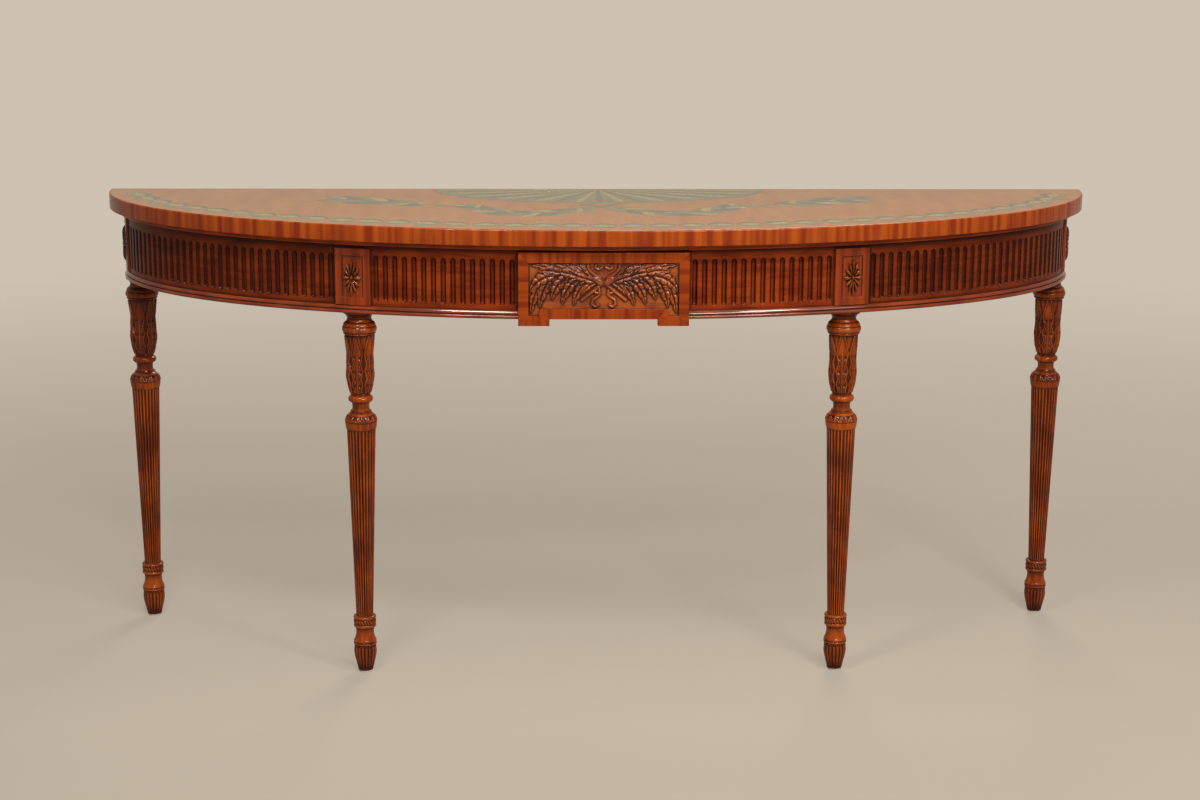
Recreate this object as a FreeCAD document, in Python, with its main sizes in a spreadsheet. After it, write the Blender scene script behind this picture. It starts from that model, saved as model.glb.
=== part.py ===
import FreeCAD, Part
import math
import os

import Sketcher
from FreeCAD import Matrix, Placement, Rotation, Vector

# Demilune side table: a half-elliptical painted top on a fluted curved apron and four turned,
# reeded legs. Millimetres. The origin is on the floor under the middle of the top, +Z is up,
# the straight back edge faces +Y and the curved front faces -Y.

DIMENSIONS = {
    # the whole table
    "top_width": 1860,
    "top_depth": 490,
    "table_height": 840,
    "glue_gap": 0.2,
    # top
    "top_thickness": 28.5,
    "veneer_thickness": 1,
    "edge_band": 3,
    "edge_rounding": 1.4,
    # apron rails
    "apron_setback": 30,
    "apron_height": 133.5,
    "rail_thickness": 32,
    "back_setback": 11,
    "back_rail_thickness": 22,
    "back_rail_height": 112,
    # flutes of the apron
    "flute_width": 9.4,
    "flute_depth": 4,
    "flute_pitch": 17.4,
    "flute_margin": 3,
    "flute_length": 82,
    "flute_drop": 28.5,
    # mouldings above and below the rails
    "bed_mould_height": 10,
    "bed_mould_projection": 14,
    "bed_mould_rounding": 6,
    "bead_nose_height": 9,
    "bead_strip_height": 5.5,
    "bead_projection": 7,
    "bead_strip_projection": 4,
    "bead_rounding": 4,
    # posts and dies above the legs
    "post_width": 65,
    "post_depth": 62,
    "front_leg_offset": 441,
    "leg_inset": 28,
    "die_thickness": 4,
    "die_drop": 16.8,
    "field_width": 39,
    "field_height": 74,
    "field_depth": 2,
    "patera_width": 31,
    "patera_height": 63,
    "patera_relief": 7,
    "patera_shoulder": 1.4,
    "patera_boss": 4,
    "petal_depth": 0.9,
    # tablet at the middle of the front
    "tablet_width": 298.6,
    "tablet_height": 117.5,
    "tablet_drop": 13.5,
    "tablet_foot_drop": 12,
    "tablet_foot_width": 54.8,
    "tablet_border": 18,
    "tablet_projection": 12.5,
    "tablet_seat": 7,
    "tablet_recess": 8,
    "carving_ground": 2,
    "carving_relief": 5.5,
    "leaf_length": 34,
    "stem_length": 190,
    "stem_radius": 4.5,
    # joints inside the apron
    "tenon_thickness": 12,
    "tenon_length": 20,
    "tenon_height": 88,
    "tenon_root": 10,
    "leg_tenon_radius": 11,
    "leg_tenon_length": 70,
    # bearers, blocks, cleats and screws under the top
    "bearer_offset": 300,
    "bearer_thickness": 22,
    "bearer_height": 70,
    "corner_block_leg": 45,
    "corner_block_height": 90,
    "cleat_size": 22,
    "cleat_length": 70,
    "back_cleat_gap": 39,
    "back_cleat_end": 60,
    "front_cleat_offset": 190,
    "side_cleat_inset": 230,
    "screw_radius": 2,
    "screw_head_radius": 4,
    "screw_head_height": 2.5,
    "screw_bite": 14,
    "tablet_screw_offset": 75,
    "tablet_screw_grip": 21,
    "tablet_screw_bite": 8,
    # legs, from the floor up
    "glide_radius": 11.5,
    "glide_height": 4,
    "nail_radius": 1.2,
    "nail_length": 16,
    "foot_height": 47,
    "foot_swell_height": 40,
    "toe_radius": 13.75,
    "foot_middle_radius": 18.3,
    "foot_swell_radius": 20.6,
    "foot_top_radius": 19.4,
    "gadroon_depth": 0.9,
    "ankle_ring_height": 10,
    "ankle_ring_base": 18.5,
    "ankle_ring_radius": 21,
    "ankle_height": 25,
    "ankle_end_radius": 17.6,
    "ankle_radius": 16.1,
    "cuff_bead_height": 10,
    "cuff_bead_radius": 19.6,
    "cuff_ring_height": 12.5,
    "cuff_ring_radius": 20.4,
    "cuff_base_radius": 17.9,
    "shaft_bottom_radius": 15.6,
    "shaft_top_radius": 26,
    "reed_depth": 1.3,
    # legs, from the apron down
    "cap_lip_height": 3,
    "cap_height": 16,
    "cap_radius": 28.5,
    "cap_hollow_radius": 23.4,
    "necking_height": 8,
    "necking_radius": 21.8,
    "torus_height": 18,
    "torus_radius": 31,
    "torus_base_radius": 27.3,
    "vase_lip_height": 6,
    "vase_lip_radius": 26.3,
    "vase_neck_height": 67,
    "vase_waist_radius": 23.7,
    "vase_belly_radius": 25.2,
    "vase_bowl_height": 37,
    "vase_bowl_radius": 22.9,
    "vase_foot_radius": 18,
    "vase_groove_height": 3,
    "ring_height": 12.5,
    "ring_radius": 22.5,
    "ring_base_radius": 16.8,
    "scotia_height": 16,
    "scotia_radius": 15.2,
    "shoulder_fillet_height": 2.5,
    "shoulder_height": 16,
    "shoulder_top_radius": 18.9,
    "shoulder_swell_radius": 26.2,
    "collar_height": 19,
    "collar_radius": 28.8,
    "collar_bottom_radius": 26.7,
}
REEDS = 24
GADROONS = 16
PETALS = 16
TRIM_REACH = 80  # how far a trimming tool runs past what it trims
ARC_STEPS = 4000  # samples along a stretch of the apron when its length is measured
HALVINGS = 60  # steps of a search for an angle, enough for the last digit
POST_SPREAD = math.pi / 8  # a post's sides lie within this angle of its middle

doc = FreeCAD.newDocument("demilune_table")
sheet = doc.addObject("Spreadsheet::Sheet", "Dimensions")
for row, (alias, number) in enumerate(DIMENSIONS.items(), start=1):
    sheet.set(f"A{row}", alias)
    sheet.set(f"B{row}", str(number))
    sheet.setAlias(f"B{row}", alias)
doc.recompute()

SUBPARTS = {}


# Lengths are written as signed words of the sheet, such as "table_height -top_thickness/2".
def measure(terms):
    """The length that the signed words add up to."""
    length = 0.0
    for term in terms.split():
        alias, _, divisor = term.lstrip("-").partition("/")
        sign = -1 if term.startswith("-") else 1
        length += sign * float(sheet.get(alias)) / float(divisor or 1)
    return length


def formula(terms):
    """The same sum as an expression on the sheet."""
    words = []
    for term in terms.split():
        sign = "-" if term.startswith("-") else "+"
        words.append(f"{sign} Dimensions.{term.lstrip('-')}")
    return "0 " + " ".join(words)


def opposite(terms):
    """Signed words for the same length the other way."""
    return " ".join(word[1:] if word.startswith("-") else "-" + word for word in terms.split())


def less(terms, taken):
    """Signed words for the first length less the second."""
    return terms + " " + opposite(taken)


def halved(terms):
    """Signed words for half of the length."""
    words = []
    for term in terms.split():
        alias, _, divisor = term.partition("/")
        words.append(f"{alias}/{2 * int(divisor or 1)}")
    return " ".join(words)


def tie(feature, prop, terms):
    """Bind one property of a feature to the sheet."""
    feature.setExpression(prop, formula(terms))


BACK = "top_depth/2"
UNDERSIDE = "table_height -top_thickness"
APRON_BOTTOM = UNDERSIDE + " -apron_height"
BEAD_TOP = APRON_BOTTOM + " bead_nose_height bead_strip_height"
DIE_TOP = UNDERSIDE + " -die_drop"
DIE_MIDDLE = halved(DIE_TOP + " " + BEAD_TOP)
RAIL_INSIDE = "apron_setback rail_thickness"
BACK_RAIL_FACE = BACK + " -back_setback -back_rail_thickness"
TABLET_BACK_Y = BACK + " -top_depth apron_setback tablet_seat"
TABLET_BOTTOM = UNDERSIDE + " -tablet_drop -tablet_height"
BACK_CLEAT_HALF = "bearer_offset -bearer_thickness/2 -back_cleat_gap"


def subpart(label, feature):
    """Register a finished piece under the name of its node."""
    feature.Label = label
    SUBPARTS[label] = feature
    return feature


def box(name, lengths, corner, place=None):
    """A block with bound sides; its corner is bound too unless a place turns it."""
    block = doc.addObject("Part::Box", name)
    for prop, terms in zip(("Length", "Width", "Height"), lengths):
        tie(block, prop, terms)
    if place is None:
        for axis, terms in zip("xyz", corner):
            tie(block, f"Placement.Base.{axis}", terms)
    else:
        block.Placement = place.multiply(Placement(Vector(*map(measure, corner)), Rotation()))
    return block


def cylinder(name, radius, length, place):
    """A round bar along the Z of its place."""
    bar = doc.addObject("Part::Cylinder", name)
    tie(bar, "Radius", radius)
    tie(bar, "Height", length)
    bar.Placement = place
    return bar


def oval(name, inset, bottom, height):
    """An elliptical slab centred on the back edge, drawn in by the inset from the top's rim."""
    rim = doc.addObject("Part::Ellipse", name + "_rim")
    tie(rim, "MajorRadius", less("top_width/2", inset))
    tie(rim, "MinorRadius", less("top_depth", inset))
    tie(rim, "Placement.Base.y", BACK)
    tie(rim, "Placement.Base.z", bottom)
    slab = doc.addObject("Part::Extrusion", name)
    slab.Base = rim
    slab.DirMode = "Custom"
    slab.Dir = Vector(0, 0, 1)
    tie(slab, "LengthFwd", height)
    slab.Solid = True
    return slab


def cut(name, base, tools):
    """The base with all the tools taken out of it."""
    bundle = doc.addObject("Part::Compound", name + "_tools")
    bundle.Links = tools
    result = doc.addObject("Part::Cut", name)
    result.Base = base
    result.Tool = bundle
    return result


def common(name, base, tool):
    """What the two shapes share."""
    result = doc.addObject("Part::Common", name)
    result.Base = base
    result.Tool = tool
    return result


def fuse(name, shapes):
    """The shapes as one solid."""
    result = doc.addObject("Part::MultiFuse", name)
    result.Shapes = shapes
    return result


def front_side(name, base, back_edge, bottom, height, x_from="-top_width/2", x_to="top_width/2"):
    """The stretch of a slab or band in front of a straight back edge, between two X planes."""
    keep = box(
        name + "_keep",
        (less(x_to, x_from), less(back_edge, "-top_depth/2"), height),
        (x_from, "-top_depth/2", bottom),
    )
    return common(name, base, keep)


def band(name, outer, inner, bottom, height):
    """An elliptical ring between two insets of the rim."""
    return cut(name, oval(name + "_outer", outer, bottom, height),
               [oval(name + "_inner", inner, bottom, height)])


def round_edges(name, base, radius, chosen):
    """Round the edges of the base that the test picks."""
    doc.recompute()
    rounded = doc.addObject("Part::Fillet", name)
    rounded.Base = base
    edges = enumerate(base.Shape.Edges, start=1)
    rounded.Edges = [(number, measure(radius), measure(radius)) for number, edge in edges if chosen(edge)]
    return rounded


def outer_edge_at(level, inset):
    """A test for curved edges at one height that reach as far out in front as the inset."""
    height = measure(level)
    front = -measure("top_depth/2") + measure(inset)

    def chosen(edge):
        bounds = edge.BoundBox
        flat = bounds.ZLength < 0.01 and abs(bounds.ZMin - height) < 0.01
        curved = "Line" not in edge.Curve.TypeId
        return flat and curved and bounds.YMin < front + measure("glue_gap") + wander(edge)

    def wander(edge):
        """How far the nearest point of a side piece of the curve lies behind the front."""
        nearest_x = min(abs(edge.BoundBox.XMin), abs(edge.BoundBox.XMax))
        if edge.BoundBox.XMin < 0 < edge.BoundBox.XMax:
            nearest_x = 0
        ratio = nearest_x / (measure("top_width/2") - measure(inset))
        return (measure("top_depth") - measure(inset)) * (1 - math.sqrt(max(0, 1 - ratio * ratio)))

    return chosen


def rim_point(inset, angle):
    """A point of the rim drawn in by the inset; the angle runs from +X by the front to -X."""
    across = measure("top_width/2") - inset
    deep = measure("top_depth") - inset
    return Vector(across * math.cos(angle), measure(BACK) - deep * math.sin(angle), 0)


def outward(inset, angle):
    """The unit normal of the curve there, pointing away from the table."""
    across = measure("top_width/2") - inset
    deep = measure("top_depth") - inset
    return Vector(math.cos(angle) / across, -math.sin(angle) / deep, 0).normalize()


def frame_at(point, normal):
    """A place whose X points along the normal and whose Z points up."""
    return Placement(point, Rotation(Vector(0, 0, 1), math.degrees(math.atan2(normal.y, normal.x))))


def facing(point, normal):
    """A place whose Z points along the normal and whose Y points up."""
    side = Vector(0, 0, 1).cross(normal)
    return Placement(Matrix(side.x, 0, normal.x, point.x, side.y, 0, normal.y, point.y,
                            side.z, 1, normal.z, point.z, 0, 0, 0, 1))


def angle_where(inset, test, low, high):
    """The angle between two bounds where the test of the rim point changes sign, by halving."""
    rising = test(rim_point(inset, high)) > 0
    for _ in range(HALVINGS):
        middle = (low + high) / 2
        if (test(rim_point(inset, middle)) > 0) == rising:
            high = middle
        else:
            low = middle
    return (low + high) / 2


class Post:
    """One of the four leg positions: its frame on the leg's axis and the angle of its die."""

    def __init__(self, name, side, back):
        self.name = name
        self.side = side
        self.back = back
        face = measure("apron_setback")
        reach = measure("top_width/2") - face
        if back:
            axis_y = measure(BACK + " -back_setback -post_width/2")
            self.angle = math.asin((measure(BACK) - axis_y) / (measure("top_depth") - face))
            self.normal = Vector(side, 0, 0)
            self.axis = Vector(side * (reach - measure("leg_inset")), axis_y, 0)
        else:
            self.angle = math.acos(measure("front_leg_offset") / reach)
            self.normal = outward(face, self.angle)
            self.normal.x *= side
            at = rim_point(face, self.angle)
            self.axis = Vector(side * at.x, at.y, 0) - self.normal * measure("leg_inset")
        if side < 0:
            self.angle = math.pi - self.angle
        self.place = frame_at(self.axis, self.normal)
        self.along = Vector(0, 0, 1).cross(self.normal)

    def across(self, point):
        """How far a point lies along the apron from the leg's axis."""
        return (point - self.axis).dot(self.along)

    def rail_end(self, way):
        """Local X of the middle of the rail where it meets the post on that side."""
        edge = way * measure("post_width/2")
        middles = []
        for inset in (measure("apron_setback"), measure(RAIL_INSIDE)):
            low = max(0.0, self.angle - POST_SPREAD)
            high = min(math.pi, self.angle + POST_SPREAD)
            angle = angle_where(inset, lambda point: self.across(point) - edge, low, high)
            middles.append((rim_point(inset, angle) - self.axis).dot(self.normal))
        return sum(middles) / len(middles)

    def rail_ways(self):
        """The sides where a curved rail meets the post: both, or the front one on a back post."""
        return (-self.side,) if self.back else (-1, 1)


POSTS = [
    Post("front_left", -1, False),
    Post("front_right", 1, False),
    Post("back_left", -1, True),
    Post("back_right", 1, True),
]


def post_block(name, post, inward, reach, bottom, height):
    """A block across the apron at a post, as wide as the post, from inside to outside the face."""
    block = doc.addObject("Part::Box", name)
    block.Length = inward + reach
    tie(block, "Width", "post_width")
    tie(block, "Height", height)
    corner = Vector(-inward, -measure("post_width/2"), measure(bottom))
    block.Placement = post.place.multiply(Placement(corner, Rotation()))
    return block


def tenon_block(name, post, middle, way, length, root, gap):
    """The tenon of a curved rail in the post's frame, or with a gap its mortise."""
    thickness = measure("tenon_thickness") + 2 * gap
    height = measure("tenon_height") + 2 * gap
    block = doc.addObject("Part::Box", name)
    block.Length = thickness
    block.Width = length + root
    block.Height = height
    start = measure("post_width/2") - length
    low = start if way > 0 else -(start + length + root)
    bottom = measure(APRON_BOTTOM) + (measure("apron_height") - height) / 2
    corner = Vector(middle - thickness / 2, low, bottom)
    block.Placement = post.place.multiply(Placement(corner, Rotation()))
    return block


def back_tenon(name, side, length, root, gap):
    """The straight back rail's tenon at one end, or with a gap its mortise."""
    thickness = measure("tenon_thickness") + 2 * gap
    height = measure("tenon_height") + 2 * gap
    block = doc.addObject("Part::Box", name)
    block.Length = length + root
    block.Width = thickness
    block.Height = height
    shoulder = back_rail_end()
    low = shoulder - root if side > 0 else -(shoulder + length)
    middle = measure(BACK_RAIL_FACE + " back_rail_thickness/2")
    bottom = measure(UNDERSIDE) - measure("back_rail_height/2") - height / 2
    block.Placement = Placement(Vector(low, middle - thickness / 2, bottom), Rotation())
    return block


def back_rail_end():
    """X of the inner face of the right back post."""
    return measure("top_width/2 -apron_setback -post_depth")


# Sketches for the bodies
def origin_plane(body, role):
    return [feature for feature in body.Origin.OriginFeatures if feature.Role == role][0]


def sketch_on(body, name, role, offset):
    """A sketch on one of the body's own origin planes, moved along its normal."""
    sketch = body.newObject("Sketcher::SketchObject", name)
    sketch.AttachmentSupport = (origin_plane(body, role), [""])
    sketch.MapMode = "FlatFace"
    tie(sketch, "AttachmentOffset.Base.z", offset)
    return sketch


def pin_corner(sketch, edge, end, terms, axis):
    """Bind one coordinate of a corner to the sheet."""
    length = measure(terms)
    if abs(length) < 1e-6:
        sketch.addConstraint(Sketcher.Constraint("PointOnObject", edge, end, -2 if axis == "X" else -1))
        return
    if length > 0:
        rule = Sketcher.Constraint("Distance" + axis, -1, 1, edge, end, length)
        words = formula(terms)
    else:
        rule = Sketcher.Constraint("Distance" + axis, edge, end, -1, 1, -length)
        words = f"-({formula(terms)})"
    number = sketch.addConstraint(rule)
    sketch.setExpression(f"Constraints[{number}]", words)


def outline(sketch, corners):
    """A closed outline through corners (x, y), or (x, y, x halfway up) where an arc ends there."""
    spots = [Vector(measure(corner[0]), measure(corner[1]), 0) for corner in corners]
    edges = []
    for place, corner in enumerate(corners):
        start = spots[place - 1]
        end = spots[place]
        forward = True
        if len(corner) == 3:
            halfway = Vector(measure(corner[2]), (start.y + end.y) / 2, 0)
            radius = Part.Circle(start, halfway, end).Radius
            forward = (halfway - start).cross(end - halfway).z > 0
            number = sketch.addGeometry(Part.Arc(start, halfway, end))
            sketch.addConstraint(Sketcher.Constraint("Radius", number, radius))
        else:
            number = sketch.addGeometry(Part.LineSegment(start, end))
        edges.append((number, 1 if forward else 2, 2 if forward else 1))
    for place, corner in enumerate(corners):
        number, first, last = edges[place]
        before, _, before_last = edges[place - 1]
        sketch.addConstraint(Sketcher.Constraint("Coincident", before, before_last, number, first))
        pin_corner(sketch, number, last, corner[0], "X")
        pin_corner(sketch, number, last, corner[1], "Y")


def disc_pad(body, name, radius, bottom, length):
    """A round pad on the body's axis."""
    sketch = sketch_on(body, name + "_sketch", "XY_Plane", bottom)
    sketch.addGeometry(Part.Circle(Vector(), Vector(0, 0, 1), measure(radius)))
    sketch.addConstraint(Sketcher.Constraint("Coincident", 0, 3, -1, 1))
    number = sketch.addConstraint(Sketcher.Constraint("Radius", 0, measure(radius)))
    tie(sketch, f"Constraints[{number}]", radius)
    pad = body.newObject("PartDesign::Pad", name)
    pad.Profile = sketch
    tie(pad, "Length", length)
    return pad


def turning(body, name, profile):
    """A turned stretch of a leg from its profile of (radius, height) corners, bottom to top."""
    axis = [("", profile[-1][1]), ("", profile[0][1])]
    sketch = sketch_on(body, name + "_sketch", "XZ_Plane", "")
    outline(sketch, list(profile) + axis)
    turned = body.newObject("PartDesign::Revolution", name)
    turned.Profile = sketch
    turned.ReferenceAxis = (sketch, ["V_Axis"])
    turned.Angle = 360
    return turned


def lobed_sketch(body, name, radii, height, lobes, depth):
    """A round or oval ring of convex lobes: crests on the radii, valleys one depth inside them."""
    sketch = sketch_on(body, name, "XY_Plane", height)
    across = measure(radii[0])
    up = measure(radii[1])
    valley = measure(depth)

    def spot(inside, step):
        turn = 2 * math.pi * step / lobes
        return Vector((across - inside) * math.cos(turn), (up - inside) * math.sin(turn), 0)

    for lobe in range(lobes):
        sketch.addGeometry(Part.Arc(spot(valley, lobe), spot(0, lobe + 0.5), spot(valley, lobe + 1)))
    for lobe in range(lobes):
        sketch.addConstraint(Sketcher.Constraint("Coincident", lobe, 2, (lobe + 1) % lobes, 1))
    return sketch


def lobed_loft(body, name, sections, lobes, depth):
    """A reeded, gadrooned or petalled stretch through (radius across, radius up, height) sections."""
    sketches = [lobed_sketch(body, f"{name}_{place}", radii, height, lobes, depth)
                for place, (*radii, height) in enumerate(sections)]
    loft = body.newObject("PartDesign::AdditiveLoft", name)
    loft.Profile = sketches[0]
    loft.Sections = sketches[1:]
    loft.Ruled = True
    return loft


# Heights along a leg: the foot is measured from the floor, the head from the apron, and the
# reeded shaft takes what is left between them.
FOOT_TOP = "glide_height foot_height"
ANKLE_RING_TOP = FOOT_TOP + " ankle_ring_height"
ANKLE_TOP = ANKLE_RING_TOP + " ankle_height"
CUFF_BEAD_TOP = ANKLE_TOP + " cuff_bead_height"
CUFF_TOP = CUFF_BEAD_TOP + " cuff_ring_height"
CAP_LIP = APRON_BOTTOM + " -cap_lip_height"
NECKING_TOP = APRON_BOTTOM + " -cap_height"
TORUS_TOP = NECKING_TOP + " -necking_height"
TORUS_BOTTOM = TORUS_TOP + " -torus_height"
VASE_LIP = TORUS_BOTTOM + " -vase_lip_height"
VASE_BELLY = VASE_LIP + " -vase_neck_height"
VASE_BOTTOM = VASE_BELLY + " -vase_bowl_height"
RING_TOP = VASE_BOTTOM + " -vase_groove_height"
RING_BOTTOM = RING_TOP + " -ring_height"
SCOTIA_BOTTOM = RING_BOTTOM + " -scotia_height"
SHOULDER_TOP = SCOTIA_BOTTOM + " -shoulder_fillet_height"
SHOULDER_BOTTOM = SHOULDER_TOP + " -shoulder_height"
SHAFT_TOP = SHOULDER_BOTTOM + " -collar_height"

FOOT_SECTIONS = [
    ("toe_radius", "toe_radius", "glide_height"),
    ("foot_middle_radius", "foot_middle_radius", "glide_height foot_swell_height/2"),
    ("foot_swell_radius", "foot_swell_radius", "glide_height foot_swell_height"),
    ("foot_top_radius", "foot_top_radius", FOOT_TOP),
]
PATERA_SECTIONS = [
    ("patera_width/2", "patera_height/2", ""),
    ("patera_width/2 -patera_shoulder", "patera_height/2 -patera_shoulder", "patera_relief/2"),
    ("patera_width/4", "patera_height/4", "patera_relief"),
]
ANKLE_PROFILE = [
    ("ankle_ring_base", FOOT_TOP),
    ("ankle_ring_base", ANKLE_RING_TOP, "ankle_ring_radius"),
    ("ankle_end_radius", ANKLE_RING_TOP),
    ("ankle_end_radius", ANKLE_TOP, "ankle_radius"),
    ("cuff_base_radius", ANKLE_TOP),
    ("cuff_base_radius", CUFF_BEAD_TOP, "cuff_bead_radius"),
    ("cuff_base_radius", CUFF_TOP, "cuff_ring_radius"),
]
SHAFT_SECTIONS = [
    ("shaft_bottom_radius", "shaft_bottom_radius", CUFF_TOP),
    ("shaft_top_radius", "shaft_top_radius", SHAFT_TOP),
]
HEAD_PROFILE = [
    ("collar_bottom_radius", SHAFT_TOP),
    ("collar_radius", SHOULDER_BOTTOM),
    ("shoulder_top_radius", SHOULDER_TOP, "shoulder_swell_radius"),
    ("shoulder_top_radius", SCOTIA_BOTTOM),
    ("ring_base_radius", SCOTIA_BOTTOM),
    ("ring_base_radius", RING_BOTTOM, "scotia_radius"),
    ("ring_base_radius", RING_TOP, "ring_radius"),
    ("vase_foot_radius", VASE_BOTTOM),
    ("vase_belly_radius", VASE_BELLY, "vase_bowl_radius"),
    ("vase_lip_radius", VASE_LIP, "vase_waist_radius"),
    ("torus_base_radius", TORUS_BOTTOM),
    ("torus_base_radius", TORUS_TOP, "torus_radius"),
    ("necking_radius", TORUS_TOP),
    ("necking_radius", NECKING_TOP),
    ("cap_radius", CAP_LIP, "cap_hollow_radius"),
    ("cap_radius", APRON_BOTTOM),
]


def make_leg(post):
    """Gadrooned foot, ankle rings, reeded tapering shaft, vase and torus, and a round tenon."""
    body = doc.addObject("PartDesign::Body", f"leg_{post.name}")
    lobed_loft(body, f"foot_{post.name}", FOOT_SECTIONS, GADROONS, "gadroon_depth")
    turning(body, f"ankle_{post.name}", ANKLE_PROFILE)
    lobed_loft(body, f"shaft_{post.name}", SHAFT_SECTIONS, REEDS, "reed_depth")
    turning(body, f"head_{post.name}", HEAD_PROFILE)
    disc_pad(body, f"tenon_{post.name}", "leg_tenon_radius", APRON_BOTTOM, "leg_tenon_length")
    hole = sketch_on(body, f"nail_hole_sketch_{post.name}", "XY_Plane", "glide_height")
    hole.addGeometry(Part.Circle(Vector(), Vector(0, 0, 1), measure("nail_radius glue_gap")))
    hole.addConstraint(Sketcher.Constraint("Coincident", 0, 3, -1, 1))
    number = hole.addConstraint(Sketcher.Constraint("Radius", 0, measure("nail_radius glue_gap")))
    tie(hole, f"Constraints[{number}]", "nail_radius glue_gap")
    pocket = body.newObject("PartDesign::Pocket", f"nail_hole_{post.name}")
    pocket.Profile = hole
    pocket.Reversed = True
    tie(pocket, "Length", "nail_length glue_gap")
    body.Placement = post.place
    subpart(f"leg_{post.name}", body)


def make_glide(post):
    """A pale pad under the foot with the nail that holds it."""
    body = doc.addObject("PartDesign::Body", f"glide_{post.name}")
    disc_pad(body, f"glide_pad_{post.name}", "glide_radius", "", "glide_height")
    disc_pad(body, f"glide_nail_{post.name}", "nail_radius", "glide_height", "nail_length")
    body.Placement = post.place
    subpart(f"glide_{post.name}", body)


def make_post(post):
    """The block behind a die: its outer face follows the apron, with mortises and a leg socket."""
    inward = measure("post_depth -leg_inset")
    blank = post_block(f"post_blank_{post.name}", post, inward, TRIM_REACH, APRON_BOTTOM, "apron_height")
    shape = oval(f"post_trim_{post.name}", "apron_setback glue_gap", APRON_BOTTOM, "apron_height")
    socket_at = Placement(Vector(0, 0, measure(APRON_BOTTOM)), Rotation())
    tools = [cylinder(f"leg_socket_{post.name}", "leg_tenon_radius glue_gap",
                      "leg_tenon_length glue_gap", post.place.multiply(socket_at))]
    gap = measure("glue_gap")
    for way in post.rail_ways():
        tools.append(tenon_block(f"mortise_{post.name}_{way + 1}", post, post.rail_end(way), way,
                                 measure("tenon_length glue_gap"), TRIM_REACH, gap))
    if post.back:
        tools.append(back_tenon(f"back_mortise_{post.name}", post.side,
                                measure("tenon_length glue_gap"), TRIM_REACH, gap))
    shaped = common(f"post_shape_{post.name}", blank, shape)
    subpart(f"post_{post.name}", cut(f"post_cut_{post.name}", shaped, tools))


def die_frame(post):
    """A place on the outer face of a die, halfway up, whose X points out of it."""
    point = rim_point(measure("apron_setback -die_thickness"), post.angle)
    point.z = measure(DIE_MIDDLE)
    return frame_at(point, outward(measure("apron_setback"), post.angle))


def make_die(post):
    """The raised panel on the apron above a leg, with a sunk field."""
    height = less(DIE_TOP, BEAD_TOP)
    ring = band(f"die_band_{post.name}", "apron_setback -die_thickness", "apron_setback", BEAD_TOP, height)
    keep = post_block(f"die_keep_{post.name}", post, TRIM_REACH, TRIM_REACH, BEAD_TOP, height)
    plate = common(f"die_plate_{post.name}", ring, keep)
    field = box(f"field_{post.name}", ("field_width", "field_width", "field_height"),
                ("-field_depth", "-field_width/2", "-field_height/2"), die_frame(post))
    subpart(f"die_{post.name}", cut(f"die_cut_{post.name}", plate, [field]))


def make_patera(post):
    """An oval flower on the field of a die: petals that swell and meet at a round boss."""
    floor = die_frame(post).multiply(Placement(Vector(-measure("field_depth"), 0, 0), Rotation()))
    place = facing(floor.Base, floor.Rotation.multVec(Vector(1, 0, 0)))
    body = doc.addObject("PartDesign::Body", f"patera_body_{post.name}")
    lobed_loft(body, f"petals_{post.name}", PATERA_SECTIONS, PETALS, "petal_depth")
    body.Placement = place
    boss = doc.addObject("Part::Sphere", f"patera_boss_{post.name}")
    tie(boss, "Radius", "patera_boss")
    boss.Placement = place.multiply(Placement(Vector(0, 0, measure("patera_relief")), Rotation()))
    subpart(f"patera_{post.name}", fuse(f"patera_fuse_{post.name}", [body, boss]))


def flute_angles(start, end):
    """Angles of evenly spaced flutes along the apron's face between two angles."""
    face = measure("apron_setback")
    steps = [start + (end - start) * step / ARC_STEPS for step in range(ARC_STEPS + 1)]
    run = [0.0]
    for low, high in zip(steps, steps[1:]):
        run.append(run[-1] + (rim_point(face, high) - rim_point(face, low)).Length)
    pitch = measure("flute_pitch")
    room = run[-1] - measure("flute_width") - 2 * measure("flute_margin")
    count = int(room / pitch) + 1
    first = (run[-1] - pitch * (count - 1)) / 2
    angles = []
    place = 0
    for flute in range(count):
        along = first + pitch * flute
        while run[place + 1] < along:
            place += 1
        share = (along - run[place]) / (run[place + 1] - run[place])
        angles.append(steps[place] + share * (steps[place + 1] - steps[place]))
    return angles


def flute_cutters(spans):
    """Upright round-ended cutters for the flutes of the given spans of angles."""
    width = measure("flute_width")
    depth = measure("flute_depth")
    radius = width * width / (8 * depth) + depth / 2
    slant = radius / math.sqrt(2)
    top = measure(UNDERSIDE + " -flute_drop") - width / 2
    bottom = measure(UNDERSIDE + " -flute_drop -flute_length") + width / 2
    profile = Part.Wire([
        Part.Arc(Vector(0, 0, bottom - radius), Vector(slant, 0, bottom - slant),
                 Vector(radius, 0, bottom)).toShape(),
        Part.LineSegment(Vector(radius, 0, bottom), Vector(radius, 0, top)).toShape(),
        Part.Arc(Vector(radius, 0, top), Vector(slant, 0, top + slant),
                 Vector(0, 0, top + radius)).toShape(),
        Part.LineSegment(Vector(0, 0, top + radius), Vector(0, 0, bottom - radius)).toShape(),
    ])
    cutter = Part.Face(profile).revolve(Vector(), Vector(0, 0, 1), 360)
    face = measure("apron_setback")
    cutters = []
    for start, end in spans:
        for angle in flute_angles(start, end):
            normal = outward(face, angle)
            turned = cutter.rotated(Vector(), Vector(0, 0, 1), math.degrees(math.atan2(normal.y, normal.x)))
            cutters.append(turned.translated(rim_point(face, angle) + normal * (radius - depth)))
    return cutters


def post_side_angle(post, way):
    """Angle on the apron's face where a post's side plane crosses it."""
    edge = way * measure("post_width/2")
    low = max(0.0, post.angle - POST_SPREAD)
    high = min(math.pi, post.angle + POST_SPREAD)
    return angle_where(measure("apron_setback"), lambda point: post.across(point) - edge, low, high)


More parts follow.
